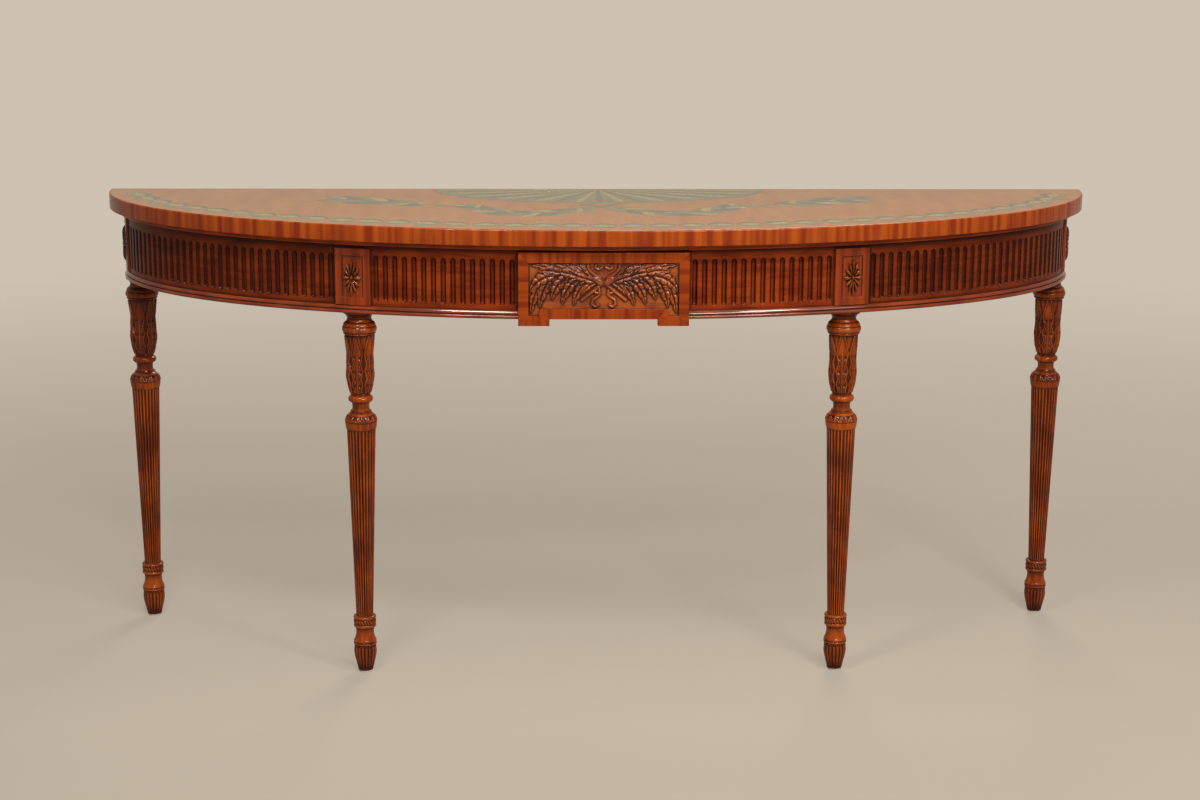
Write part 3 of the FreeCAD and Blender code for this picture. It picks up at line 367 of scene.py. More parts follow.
def sawn_hardwood(name, light, dark):
    """Plain secondary hardwood, planed and stained but not polished: dull, with open straight grain."""
    made, tree, place = new_finish(name)
    streaks = figure(tree, place, (110, 9, 7), {"Detail": 5.0, "Roughness": 0.6, "Distortion": 0.4})
    wood = toned(tree, streaks, 0.32, 0.68, dark, light)
    fibres = add(tree, "Bump", {"Height": streaks, "Strength": 0.25, "Distance": 0.3 * MM})
    surface(tree, wood, streaks, 0.6, 0.8, {"Normal": fibres.outputs["Normal"], "IOR": 1.5})
    return made


def moulded_nylon(name, light, dark):
    """White nylon, moulded and scuffed on the floor: matt, with faint grey rub marks."""
    made, tree, place = new_finish(name)
    rubs = add(tree, "TexNoise", {"Vector": place, "Scale": 1 / (4 * MM), "Detail": 3.0}).outputs["Fac"]
    surface(tree, toned(tree, rubs, 0, 1, light, dark), rubs, 0.4, 0.6, {"IOR": 1.53})
    return made


def drawn_steel(name, light, dark):
    """Plain steel screws, drawn and lightly oiled: grey metal with soft uneven gloss."""
    made, tree, place = new_finish(name)
    stain = add(tree, "TexNoise", {"Vector": place, "Scale": 1 / (2.5 * MM), "Detail": 3.0}).outputs["Fac"]
    surface(tree, toned(tree, stain, 0, 1, light, dark), stain, 0.25, 0.5, {"Metallic": 1.0})
    return made


TURNED = lacquered_mahogany("turned_mahogany", "object", (7, 7, 80), "b2500a", "782b04", 0.42)
FLUTED = lacquered_mahogany("fluted_mahogany", "grain", (90, 9, 1), "963a0a", "6e2306")
MOULDED = lacquered_mahogany("moulded_mahogany", "grain", (120, 6, 1), "8c3810", "662308", 1.0)
CARVED = lacquered_mahogany("carved_mahogany", "object", (40, 12, 9), "b2540e", "7c3205", 1.0, 0.17)
# A lighter copy of the moulded mahogany: painted light on the bed moulding, which lies in the shadow of the
# top's edge.
BED_LIT = lacquered_mahogany("bed_moulding_mahogany_lit", "grain", (120, 6, 1), "b84e10", "8e340a")
POSTS_STAIN = lacquered_mahogany("stained_mahogany", "object", (9, 9, 90), "5a2a10", "3a180a", 0.1)
RIM_BAND = crossbanded_veneer("crossbanded_mahogany_rim", 17, "b4560c", "923005", "7e2804", 0.35)
FRAME_BAND = crossbanded_veneer("crossbanded_mahogany_frame", 12, "9e430c", "8a3208", "702405")
# A darker copy of the frame's veneer for the dies: painted shade, as their faces turn aside from the light.
DIE_BAND_SHADED = crossbanded_veneer("crossbanded_mahogany_die_shaded", 12, "983c09", "842e06", "682104", 0.45)
SATINWOOD = lacquered_satinwood("lacquered_satinwood", "ba7f47", "a56b3b")
SAGE = oil_paint("sage_oil_paint", "8a8765", "787657")
STRAW = oil_paint("straw_oil_paint", "ae9d68", "9c8c58")
SLATE = oil_paint("slate_green_oil_paint", "74745d", "646652")
SECONDARY = sawn_hardwood("stained_poplar", "8a6038", "6c4526")
NYLON = moulded_nylon("white_nylon", "e8e6df", "d2cec4")
STEEL = drawn_steel("drawn_steel", "b0b0ac", "8c8c88")


# Legs
def arc(start, end, halfway, count):
    """Points (z, r) on the circle through a start, an end, and a radius halfway up between them."""
    middle = np.array([(start[0] + end[0]) / 2, halfway])
    spots = np.array([start, middle, end], float)
    sides = 2 * (spots[1:] - spots[0])
    squares = np.sum(spots[1:] ** 2, axis=1) - np.sum(spots[0] ** 2)
    centre = np.linalg.solve(sides, squares)
    angles = np.unwrap(np.arctan2(*(spots - centre).T[::-1]))
    sweep = np.linspace(angles[0], angles[2], count)
    radius = np.linalg.norm(spots[0] - centre)
    return centre + radius * np.stack([np.cos(sweep), np.sin(sweep)], -1)


def line(start, end, count):
    """Points (z, r) on the straight line between two stations."""
    return np.linspace(start, end, count)


FOOT_LOW, FOOT_TOP, CUFF_TOP, SHAFT_TOP = 4.0, 49.5, 108.5, 461.5
COLLAR_LOW, COLLAR_HIGH, VASE_LOW, VASE_HIGH = 475.8, 486.4, 526.0, 634.6
PEARL_Z, PEARL_R, ROPE_Z, ROPE_HALF = 51.2, 1.75, 97.5, 4.9
REEDS, GADROONS, LEAVES, SMALL_LEAVES, PEARLS, TWISTS = 24, 18, 6, 16, 30, 22
REED_HOLLOW, REED_DEEP, REED_CROWN, GADROON_DEEP = 0.34, 0.26, 0.35, 1.7
ROUND = 240
LEG_FACING = math.radians(-100)


def leg_profile():
    """The turned leg's (z, r) line: a cubic foot, then arcs and straight tapers from ring to ring."""
    foot_z = np.linspace(FOOT_LOW, FOOT_TOP, 34)
    foot_curve = np.polyfit([FOOT_LOW, 24, 43, FOOT_TOP], [13.75, 18.3, 20.6, 19.6], 3)
    ends = 3 + 6 * (1 - np.cos(np.linspace(0, np.pi / 2, 9)))
    middle = np.linspace(CUFF_TOP + 12, SHAFT_TOP - 12, 10)
    shaft_z = np.concatenate([[CUFF_TOP, CUFF_TOP + 1.5], CUFF_TOP + ends, middle,
                              (SHAFT_TOP - ends)[::-1], [SHAFT_TOP - 1.5, SHAFT_TOP]])
    return np.concatenate([
        np.stack([foot_z, np.polyval(foot_curve, foot_z)], -1),
        line((49.5, 18.6), (53, 18.6), 9),
        arc((53, 19.8), (57.4, 19.8), 21.3, 9),
        line((57.4, 19.0), (58.2, 19.0), 2),
        arc((58.2, 20.4), (62.4, 20.0), 21.0, 7),
        arc((62.4, 20.0), (83, 17.0), 16.8, 18),
        line((83, 16.2), (86, 16.2), 3),
        arc((86, 18.8), (92.6, 18.9), 20.7, 10),
        line((92.6, 19.0), (102.4, 19.0), 15),
        arc((102.4, 18.9), (108.5, 17.6), 20.8, 10),
        np.stack([shaft_z, np.interp(shaft_z, [CUFF_TOP, SHAFT_TOP], [15.6, 26.0])], -1),
        arc((461.5, 26.9), (475.5, 28.8), 28.3, 9),
        arc((475.5, 28.8), (492, 18.9), 26.2, 28),
        line((492, 18.9), (494.5, 18.9), 3),
        arc((494.5, 16.8), (510.5, 16.8), 15.2, 14),
        arc((510.5, 16.8), (523, 16.8), 22.3, 18),
        line((523, 17.2), (526, 18.0), 3),
        arc((526, 18.0), (563, 25.2), 22.9, 42),
        arc((563, 25.2), (634.6, 26.4), 23.8, 72)[1:],
        line((634.6, 26.4), (635.6, 25.4), 3),
        arc((636.0, 28.0), (638.9, 28.6), 29.1, 7),
        line((639.1, 28.0), (639.6, 28.2), 2),
        arc((639.8, 29.0), (650.2, 29.4), 31.2, 16),
        line((650.2, 28.5), (650.8, 28.5), 2),
        arc((650.8, 29.2), (657.6, 25.2), 28.5, 11),
        line((657.6, 23.4), (658.4, 23.4), 2),
        arc((658.4, 24.6), (664.0, 21.6), 22.5, 9),
        line((664.0, 21.0), (665.2, 21.0), 2),
        arc((665.2, 21.6), (674.0, 28.1), 23.7, 12),
        line((674.0, 28.9), (678, 28.9), 3),
        line((678, 11.0), (748, 11.0), 2),
    ])


def across_unit(turn, count):
    """Where a turn falls across one of count equal shares of the circle, from -1 to 1."""
    return 2 * np.mod(turn * count / (2 * np.pi) + 0.5, 1) - 1


def carved(inside, height, shade):
    """A relief's height and its glazing with painted shade where it is carved, and none elsewhere."""
    return np.where(inside, height, 0), np.where(inside, np.clip(shade, 0, 1), 0)


def reed_relief(turn, z, r):
    """Shaft: round-ended hollows between crowned reeds; each depth is a parabola across its hollow."""
    pitch = 2 * np.pi * r / REEDS
    offset = across_unit(turn, REEDS) * pitch / 2
    half = REED_HOLLOW * pitch
    past = beyond(z, CUFF_TOP + 0.5 + half, SHAFT_TOP - 0.5 - half)
    hollow = np.clip(1 - (offset ** 2 + past ** 2) / half ** 2, 0, 1)
    from_end = np.minimum(SHAFT_TOP - z, z - CUFF_TOP)
    crown = np.square(1 - np.abs(offset) / (pitch / 2)) * smooth(0, 8, from_end)
    depth = REED_DEEP * pitch * hollow + REED_CROWN * crown
    # Glaze and painted shade in the hollows between the reeds.
    return carved(from_end > 0, -depth, smooth(0.0, 0.55, hollow))


LEAF_UP = [0.0, 0.08, 0.17, 0.28, 0.41, 0.53, 0.70, 0.84, 1.0]
LEAF_WIDE = [0.90, 0.74, 0.99, 0.66, 0.99, 0.66, 0.99, 0.70, 0.36]
EYES_UP = np.array([0.16, 0.395, 0.63]).reshape(3, 1, 1)
EYES_ASIDE = 0.43


def acanthus_relief(turn, z):
    """Vase: broad leaves whose lobes touch their neighbours', with raised edges, a midrib, and paired eyes.

    The outline is a zigzag of the share of the length; heights are bells and ridges of the distance from it
    and from the midrib, and the tip of a leaf behind fills the gap at the top.
    """
    up = np.clip((z - VASE_LOW) / (VASE_HIGH - VASE_LOW), 0, 1)
    across = across_unit(turn, LEAVES)
    side = np.abs(across)
    width = np.interp(up, LEAF_UP, LEAF_WIDE)
    leaf = smooth(width + 0.01, width - 0.04, side)
    edge = bell(side - width + 0.11, 0.085) * (1 + 0.5 * smooth(0.66, 0.8, up))
    rib = bell(across, 0.085) * smooth(0.8, 0.45, up)
    furrow = bell(side - 0.19, 0.075) * smooth(0.85, 0.6, up)
    lobes = 0.5 * np.sin(np.pi * np.clip(side / np.maximum(width, 0.1), 0, 1)) ** 2
    veins = 0.14 * np.cos(2 * np.pi * (up * 12 - side * 2.2)) * smooth(0.22, 0.4, side)
    eyes = np.max(bell(side - EYES_ASIDE, 0.14) * bell(up - EYES_UP, 0.03), axis=0)
    lips = np.max(bell(side - EYES_ASIDE, 0.16) * bell(up - EYES_UP + 0.05, 0.022), axis=0)
    front = 0.1 + 1.15 * edge + 1.4 * rib - 0.5 * furrow + lobes + veins + 0.9 * lips
    behind = 1 - side
    high = smooth(0.74, 0.8, up)
    back = -1.7 + 1.3 * high * (0.55 + 0.6 * bell(behind, 0.09))
    height = leaf * front + (1 - leaf) * back - 2.4 * eyes
    ends = smooth(0, 0.03, up) * smooth(1, 0.98, up)
    gap = (1 - leaf) * (1 - 0.75 * high * smooth(0.5, 0.15, behind))
    beside_edge = bell(side - width + 0.29, 0.08) + bell(side - width - 0.03, 0.06)
    # Glaze and painted shade in the gaps, eyes, furrows, vein grooves and beside the edges; less on the
    # raised edges, as a painted highlight.
    dark = 0.8 * gap + 0.95 * eyes + 0.75 * furrow + 0.8 * beside_edge - 0.7 * edge
    dark = dark + 0.25 * smooth(0.03, -0.1, veins) * leaf * (1 - edge)
    # Painted shade at the top and the bottom of the vase.
    end_lines = 0.6 * smooth(0.06, 0.0, up) + 0.6 * smooth(0.95, 1.0, up)
    return carved((z > VASE_LOW) & (z < VASE_HIGH), height * ends - 0.5, np.maximum(dark, 0) + end_lines)


def leaf_collar_relief(turn, z):
    """Shoulder: a row of small upright leaves; height falls from each midrib to its pointed outline."""
    up = np.clip((z - COLLAR_LOW) / (COLLAR_HIGH - COLLAR_LOW), 0, 1)
    side = np.abs(across_unit(turn, SMALL_LEAVES))
    width = 0.95 * dome(up ** 1.2)
    leaf = smooth(width + 0.08, width - 0.14, side)
    eye = bell(side - 0.5, 0.16) * bell(up - 0.4, 0.16)
    height = leaf * (0.85 + 0.55 * bell(side, 0.22) - 0.45 * bell(side - 0.42, 0.13)) - 0.5 - 1.1 * eye
    inside = (z > COLLAR_LOW) & (z < COLLAR_HIGH)
    # Glaze and painted shade where the relief lies low and in the eyes.
    return carved(inside, height * smooth(0, 0.06, up), smooth(0.3, -0.4, height) + eye)


def foot_relief(turn, z):
    """Foot: upright gadroons parted by round-bottomed hollows that fade out near the ring above."""
    side = np.abs(across_unit(turn, GADROONS))
    hollow = np.clip(1 - np.square((1 - side) / 0.54), 0, 1)
    fade = smooth(FOOT_LOW, FOOT_LOW + 4, z) * smooth(FOOT_TOP, FOOT_TOP - 4, z)
    # Glaze and painted shade in the hollows, and darker towards the toe.
    shade = np.maximum(smooth(0.05, 0.6, hollow), 0.2 + 0.7 * smooth(26, 5, z))
    return carved(z < FOOT_TOP, -GADROON_DEEP * hollow * fade, shade * smooth(FOOT_TOP, FOOT_TOP - 3, z))


def pearl_relief(turn, z):
    """Above the foot: a string of tiny round pearls in the groove under the ankle ring."""
    up = (z - PEARL_Z) / PEARL_R
    ball = dome(np.hypot(across_unit(turn, PEARLS), up))
    # Glaze and painted shade between the pearls.
    return carved(np.abs(up) < 1, 1.7 * ball, 1 - ball)


def rope_relief(turn, z):
    """Cuff: a twisted rope between its two rings; slanting strands, each a sine hump, on a rounded band."""
    up = (z - ROPE_Z) / ROPE_HALF
    strand = 0.5 + 0.5 * np.cos(TWISTS * turn + 2.6 * up)
    swell = dome(up)
    # Glaze and painted shade between the strands and at the band's edges.
    return carved(np.abs(up) < 1, swell * (0.6 + strand ** 0.7), 2 - 1.5 * strand - swell)


# Heights of the dark lines of glaze and painted shade between rings; height, strength and width of the
# painted shade that lies in each cove.
RING_LINES = np.array([49.6, 53, 57.8, 84.5, 92.6, 102.4, 108.8, 461.3, 475.6, 486.6, 492, 494.5, 510.5, 524,
                       526, 635.5, 639.4, 650.5, 658, 664.6, 674])
COVE_SHADES = [(669.5, 0.75, 4.5), (503, 0.4, 6.0), (80, 0.3, 4.0)]


def leg_surface():
    """Points, glazing and painted shade of a leg on its own axis: the turned radius plus every carved relief.
    """
    z, r = leg_profile().T[..., None]
    turn = full_circle(ROUND)
    reliefs = [reed_relief(turn, z, r), acanthus_relief(turn, z), leaf_collar_relief(turn, z),
               foot_relief(turn, z), pearl_relief(turn, z), rope_relief(turn, z)]
    heights, shades = zip(*reliefs)
    # Painted shade at the steps between rings and in the coves; plain gives a darker tone outside the reeded
    # shaft.
    ring_line_shade = 0.75 * np.max(bell(z[:, :, None] - RING_LINES, 1.1), axis=2)
    cove_shade = sum(strength * bell(z - middle, width) for middle, strength, width in COVE_SHADES)
    plain = 0.12 * smooth(SHAFT_TOP - 1, SHAFT_TOP, z) + 0.16 * smooth(CUFF_TOP, CUFF_TOP - 1, z)
    return turned(z, r + sum(heights), turn), np.clip(ring_line_shade + cove_shade + plain + sum(shades), 0, 1)


def make_legs():
    """Four legs: the one surface, turned so that a leaf of the vase faces forwards, set on each axis."""
    points, glaze = leg_surface()
    ahead = np.array([math.cos(LEG_FACING), math.sin(LEG_FACING)])
    spin = np.stack([ahead, quarter_turn(ahead)])
    for post in POSTS:
        skin = Skin().tube(raised(points[..., :2] @ spin + post.axis, points[..., 2]), glaze)
        skin.piece(f"carved_leg_{post.name}", TURNED, "carved_mahogany", [f"leg_{post.name}"])


def make_glides():
    """Pale pads under the feet: a round disc with a soft lower edge, turned about the leg's axis."""
    disc = [(0, 10.6), (0.25, 11.7), (0.9, 12.35), (1.8, 12.5), (FOOT_LOW, 12.5)]
    nail = [(FOOT_LOW, 1.2), (20, 1.2)]
    z, r = np.array(disc + nail).T[..., None]
    points = turned(z, r, full_circle(48))
    for post in POSTS:
        skin = Skin().tube(raised(points[..., :2] + post.axis, points[..., 2]))
        skin.piece(f"floor_glide_{post.name}", NYLON, "white_nylon", [f"glide_{post.name}"])


# Apron
FLUTE_HALF, FLUTE_DEEP, FLUTE_PITCH, FLUTE_MARGIN = 4.7, 4.0, 17.4, 3.0
FLUTE_LOW, FLUTE_HIGH = 701.0, 783.0
FLUTE_BALL = FLUTE_HALF ** 2 / (2 * FLUTE_DEEP) + FLUTE_DEEP / 2
FLUTE_COLUMNS = FLUTE_HALF * np.array([1.5, 1.25, 1.06, 1, 0.93, 0.78, 0.55, 0.28])
FLUTE_ROWS = FLUTE_HALF * np.array([-0.5, -0.03, 0.05, 0.16, 0.33, 0.55, 0.8, 1.05])
ROWS_BELOW, ROWS_BETWEEN, ROWS_ABOVE = [692, 696], [720, 742, 764], [790, 801]
# Heights where painted shade lies under the bed moulding and above the bead.
SHADE_UNDER_BED, SHADE_OVER_BEAD = (788, 797), (698, 693)
COLUMN_GAP = 0.2
TABLET_HALF = 149.3
SEAT_Y = -207.8


def flute_runs(start, end):
    """Evenly spaced flute centres along the apron's face between two runs, centred between them."""
    room = end - start - 2 * FLUTE_HALF - 2 * FLUTE_MARGIN
    count = int(room / FLUTE_PITCH) + 1
    return start + (end - start - FLUTE_PITCH * (count - 1)) / 2 + FLUTE_PITCH * np.arange(count)


def sunk_face(inset, turns, sunk):
    """Plan points of a face on the ellipse, each row sunk along its normal by the depths in sunk."""
    return rim(inset, turns)[:, None, :] - rim_normal(inset, turns)[:, None, :] * sunk[..., None]


def face_run(turn):
    """Length along the apron's face up to a turn."""
    return np.interp(turn, TURNS, FACE_RUN)


def make_rail(name, node, first, last, spans, tone=0.0):
    """A fluted rail: its section is carried along the ellipse, and its face sinks by ball-ended flutes.

    The first and last ends are a post and a distance across it; flutes fill each span of turns. The tone adds
    painted shade to the whole rail.
    """
    ends_out = [post.turn_across(APRON_FACE, across) for post, across in (first, last)]
    ends_in = [post.turn_across(APRON_INSIDE, across) for post, across in (first, last)]
    centres = np.concatenate([flute_runs(*face_run(span)) for span in spans])
    columns = np.concatenate([-FLUTE_COLUMNS, [0], FLUTE_COLUMNS[::-1]])
    low, high = face_run(ends_out)
    runs = np.unique(np.concatenate([(centres[:, None] + columns).reshape(-1), np.linspace(low, high, 90)]))
    between = (runs > low + COLUMN_GAP) & (runs < high - COLUMN_GAP)
    runs = np.concatenate([[low], runs[between], [high]])
    turns = np.interp(runs, FACE_RUN, TURNS)
    z = np.concatenate([[APRON_BOTTOM], ROWS_BELOW, FLUTE_LOW + FLUTE_ROWS, ROWS_BETWEEN,
                        (FLUTE_HIGH - FLUTE_ROWS)[::-1], ROWS_ABOVE, [UNDERSIDE]])
    offset = np.min(np.abs(runs[:, None] - centres), axis=1)[:, None]
    reach = np.hypot(offset, beyond(z, FLUTE_LOW + FLUTE_HALF, FLUTE_HIGH - FLUTE_HALF))
    ball = np.sqrt(np.maximum(FLUTE_BALL ** 2 - reach ** 2, 0)) - (FLUTE_BALL - FLUTE_DEEP)
    sunk = np.where(reach < FLUTE_HALF, np.maximum(ball, 0), 0)
    face = sunk_face(APRON_FACE, turns, sunk)
    behind_tablet = np.abs(face[..., 0]) < TABLET_HALF + FIT
    face[..., 1] = np.where(behind_tablet, np.maximum(face[..., 1], SEAT_Y), face[..., 1])
    inner = rim(APRON_INSIDE, np.interp(turns, ends_out, ends_in))
    plan = np.concatenate([face, np.repeat(inner[:, None, :], 2, axis=1)], axis=1)
    heights = np.concatenate([z, [UNDERSIDE, APRON_BOTTOM]])
    # Glaze and painted shade in the flutes, with a painted highlight down the middle of each that fades near
    # the top.
    painted_flute_highlight = smooth(0.55, 0.1, offset / FLUTE_HALF) * smooth(FLUTE_HIGH, FLUTE_HIGH - 12, z)
    shade = smooth(1.25, 0.8, reach / FLUTE_HALF) * (0.95 - 0.62 * painted_flute_highlight)
    # Painted shade under the bed moulding and above the bead.
    corner = 0.9 * smooth(*SHADE_UNDER_BED, z) + 0.7 * smooth(*SHADE_OVER_BEAD, z)
    span_ends = face_run(np.array(spans)).reshape(-1)
    # Dark joints at the dies and the tablet, with painted shade beside them.
    joint_and_shade = 0.9 * smooth(7.0, 2.0, np.min(np.abs(runs[:, None] - span_ends), axis=1))[:, None]
    shade = np.clip(np.maximum(np.maximum(shade, corner), joint_and_shade) + tone, 0, 1)
    skin = Skin().tube(raised(plan, heights), np.pad(shade, ((0, 0), (0, 2))), runs[:, None], heights)
    skin.piece(name, FLUTED, "carved_mahogany", [node], crease=60)


def make_rails():
    """The front rail and the two side rails, each fluted between the dies and the tablet."""
    tablet_turn = math.acos(TABLET_HALF / (HALF_WIDTH - APRON_FACE))
    front_span = FRONT_RIGHT.turn_across(APRON_FACE, -POST_HALF)
    make_rail("fluted_rail_front", "rail_front", (FRONT_RIGHT, -POST_HALF), (FRONT_LEFT, POST_HALF),
              [(front_span, tablet_turn), (np.pi - tablet_turn, np.pi - front_span)])
    back_end = BACK_RIGHT.turn_across(APRON_FACE, -POST_HALF)
    front_end = FRONT_RIGHT.turn_across(APRON_FACE, POST_HALF)
    # The side rails get painted shade by their tone.
    make_rail("fluted_rail_right", "rail_right", (BACK_RIGHT, -POST_HALF), (FRONT_RIGHT, POST_HALF),
              [(back_end, front_end)], 0.36)
    make_rail("fluted_rail_left", "rail_left", (FRONT_LEFT, -POST_HALF), (BACK_LEFT, POST_HALF),
              [(np.pi - front_end, np.pi - back_end)], 0.3)


def swept_band(name, node, profile, ends, material, slot, columns=260, glaze=0.0):
    """A closed section of (inset, z) points carried along the ellipse; ends gives each inset's two turns."""
    insets, z = np.array(profile, float).T
    first, last = ends(insets)
    turns = first + (last - first) * np.linspace(0, 1, columns)[:, None]
    along = np.interp(turns, TURNS, EDGE_RUN)
    skin = Skin().tube(raised(rim(insets, turns), z), glaze, along, lengths_along(np.array(profile)))
    skin.piece(name, material, slot, [node], crease=35)


def quarter(centre, radius, start, end, count=7):
    """Points (inset, z) on a circle's arc between two angles in degrees; 0 points inwards and 90 up."""
    angles = np.radians(np.linspace(start, end, count))
    return [(centre[0] + radius * math.cos(a), centre[1] + radius * math.sin(a)) for a in angles]


def rim_ends(insets):
    """Turns at which each inset's ellipse starts and ends: the whole half."""
    return np.zeros_like(insets), np.full_like(insets, np.pi)


def back_ends(insets):
    """Turns at which each inset's ellipse meets the plane of the back rail."""
    turn = np.arcsin(BACK_SETBACK / (DEPTH - insets))
    return turn, np.pi - turn


def right_ends(insets):
    """Turns from the back rail to the tablet's right side."""
    return back_ends(insets)[0], np.arccos((TABLET_HALF + FIT) / (HALF_WIDTH - insets))


def left_ends(insets):
    """Turns from the tablet's left side to the back rail."""
    return np.pi - right_ends(insets)[1], back_ends(insets)[1]


EDGE_ROUND, EDGE_ARRIS, NOSE_ROUND = 2.9, 0.7, 3.4


def make_bands():
    """Edge band of the top, bed moulding under it, and the beads along the foot of the apron."""
    edge = [(BAND_THICK, TOP_Z)] + quarter((EDGE_ROUND, TOP_Z - EDGE_ROUND), EDGE_ROUND, 90, 180, 9)
    edge += quarter((EDGE_ARRIS, UNDERSIDE + EDGE_ARRIS), EDGE_ARRIS, 180, 270, 4) + [(BAND_THICK, UNDERSIDE)]
    swept_band("crossbanded_edge", "top_edge_band", edge, rim_ends, RIM_BAND, "crossbanded_mahogany")
    bed = [(29.9, UNDERSIDE), (18.6, UNDERSIDE), (18.6, 810.3), (16.4, 810.1), (16.0, 809.6), (16.0, 805.0)]
    bed += quarter((19.5, 805.0), 3.5, 180, 270, 8) + [(24.0, 801.5), (29.9, 801.5)]
    # Painted shade where the bed moulding meets the top's edge and the apron.
    bed_shade = [0.9, 0.95, 0.9, 0.2] + [0.0] * 8 + [0.4, 0.7, 0.9, 1.0]
    swept_band("bed_moulding_run", "bed_moulding", bed, back_ends, BED_LIT, "carved_mahogany", glaze=bed_shade)
    nose = [(29.9, 678), (26.6, 678)] + quarter((26.6, 678 + NOSE_ROUND), NOSE_ROUND, 270, 90, 13)
    nose += [(28.4, 685.0), (28.4, 686.2), (25.8, 686.4), (25.3, 687.0), (25.6, 688.0), (28.0, 691.8),
             (28.7, 692.3), (29.9, 692.5)]
    # Painted shade in the quirk, under the bead and where it meets the apron.
    nose_shade = [0.7, 0.5] + [0.0] * 12 + [0.5, 1.0, 1.0, 0.4, 0.0, 0.0, 0.0, 0.4, 0.9]
    for side, ends in (("right", right_ends), ("left", left_ends)):
        swept_band(f"bead_run_{side}", f"bead_{side}", nose, ends, MOULDED, "carved_mahogany",
                   columns=160, glaze=nose_shade)


# Dies and their flowers
DIE_LOW, DIE_HIGH, DIE_FACE, DIE_BACK = 692.5, 794.7, 26.0, 30.0
DIE_MIDDLE, DIE_HALF_HIGH = (DIE_LOW + DIE_HIGH) / 2, (DIE_HIGH - DIE_LOW) / 2
FIELD_HALF_WIDE, FIELD_HALF_HIGH, FIELD_DEEP = 19.5, 37.0, 2.0
PETALS = 12
FLOWER_HALF_WIDE, FLOWER_HALF_HIGH, FLOWER_DROP, FLOWER_POINT = 18.6, 34.8, 1.5, 1.45


def die_lines(half, field_half):
    """Grid lines across a die, close together where the arris rounds and where the field steps down."""
    arris = half - np.array([0, 0.15, 0.5, 1.0, 1.8])
    step = field_half + np.array([4, 1.2, 0.5, 0.0, -0.35, -0.7, -1.4])
    side = np.concatenate([arris, step, np.linspace(field_half - 4, 0, 4)])
    return np.unique(np.concatenate([side, -side]))


def depth_inside(half_wide, half_high, across, up):
    """How far each point of a grid lies inside the nearest side of a rectangle."""
    return np.minimum((half_wide - np.abs(across))[:, None], half_high - np.abs(up))


def make_dies():
    """Raised plates on the apron above the legs: rounded at the arris, with a sunk, bevelled field."""
    across = die_lines(POST_HALF, FIELD_HALF_WIDE)
    up = die_lines(DIE_HALF_HIGH, FIELD_HALF_HIGH)
    heights = DIE_MIDDLE + up
    past_edge = np.clip(depth_inside(POST_HALF, DIE_HALF_HIGH, across, up), 0, 1)
    into_field = depth_inside(FIELD_HALF_WIDE, FIELD_HALF_HIGH, across, up)
    sunk = 1.0 - dome(1 - past_edge) + FIELD_DEEP * smooth(-0.9, 1.1, into_field)
    # Painted shade along the sunk field's edge, weaker along the bottom edge, whose bevel faces up to the
    # light.
    shade = 0.9 * bell(into_field - 0.6, 0.9) * (1 - 0.75 * smooth(3 - FIELD_HALF_HIGH, -FIELD_HALF_HIGH, up))
    for post in POSTS:
        face = sunk_face(DIE_FACE, post.turn_across(DIE_FACE, across), sunk)
        back = sunk_face(DIE_BACK, post.turn_across(DIE_BACK, across), 0 * sunk)
        skin = Skin().block(raised(face, heights), raised(back, heights), shade, across[:, None], up)
        skin.piece(f"die_plate_{post.name}", DIE_BAND_SHADED, "crossbanded_mahogany", [f"die_{post.name}"])


def make_flowers():
    """Pointed oval flowers: petals round a boss; each petal's height is a ridge that falls to its two sides.

    The outline is the oval whose sizes, raised to the point's power, add up to one; the gaps between petals
    cut into it. The flowers of the back dies carry painted shade.
    """
    turn = full_circle(16 * PETALS)
    inner, outer = np.linspace(0.0, 0.22, 7)[1:], np.linspace(0.26, 0.94, 16)
    share = np.concatenate([inner, outer, [0.97, 0.99, 1.0, 1.0]])[:, None]
    side = np.abs(across_unit(turn, PETALS))
    reach = 1 - 0.34 * side ** 1.2 * smooth(0.3, 1.0, share)
    oval = np.abs(np.cos(turn)) ** FLOWER_POINT + np.abs(np.sin(turn)) ** FLOWER_POINT
    reach = reach / oval ** (1 / FLOWER_POINT)
    wide = FLOWER_HALF_WIDE * share * reach * np.cos(turn)
    tall = FLOWER_HALF_HIGH * share * reach * np.sin(turn) - FLOWER_DROP
    boss = 7.0 * dome(share / 0.12)
    swell = 2.2 + 3.6 * np.sin(np.pi * np.clip((share - 0.12) / 0.98, 0, 1))
    ridge = 1.0 + swell * dome(side / 0.85)
    height = np.maximum(boss, ridge * smooth(0.12, 0.28, share)) * dome(share ** 4)
    height[-1] = -0.4
    # Glaze and painted shade between the petals, none on the boss.
    shade = np.maximum(0.5 + 0.5 * smooth(0.35, 0.75, side), bell(share - 0.2, 0.06))
    shade = np.where(share < 0.11, 0.0, shade)
    for post in POSTS:
        normal = rim_normal(APRON_FACE, post.turn)
        field = rim(DIE_FACE, post.turn) - normal * FIELD_DEEP
        plan = field + wide[..., None] * quarter_turn(normal) + height[..., None] * normal
        # Painted shade on the flowers of the back dies.
        painted_back_shade = 0.3 if "back" in post.name else 0.0
        skin = Skin().tube(raised(plan, DIE_MIDDLE + tall), np.clip(shade + painted_back_shade, 0, 1))
        skin.piece(f"oval_flower_{post.name}", CARVED, "carved_mahogany", [f"patera_{post.name}"])


# Tablet and its carving
TABLET_TOP, TABLET_BOTTOM, TABLET_FEET, FOOT_WIDE = 798.0, 680.5, 668.5, 54.8
TABLET_FRONT, TABLET_BACK, FIELD_FLOOR, BORDER = -227.5, -208.0, -219.5, 18.0
TABLET_ARRIS = 1.2
PANEL_THICK = 2.0
SIDE_RUN = 331


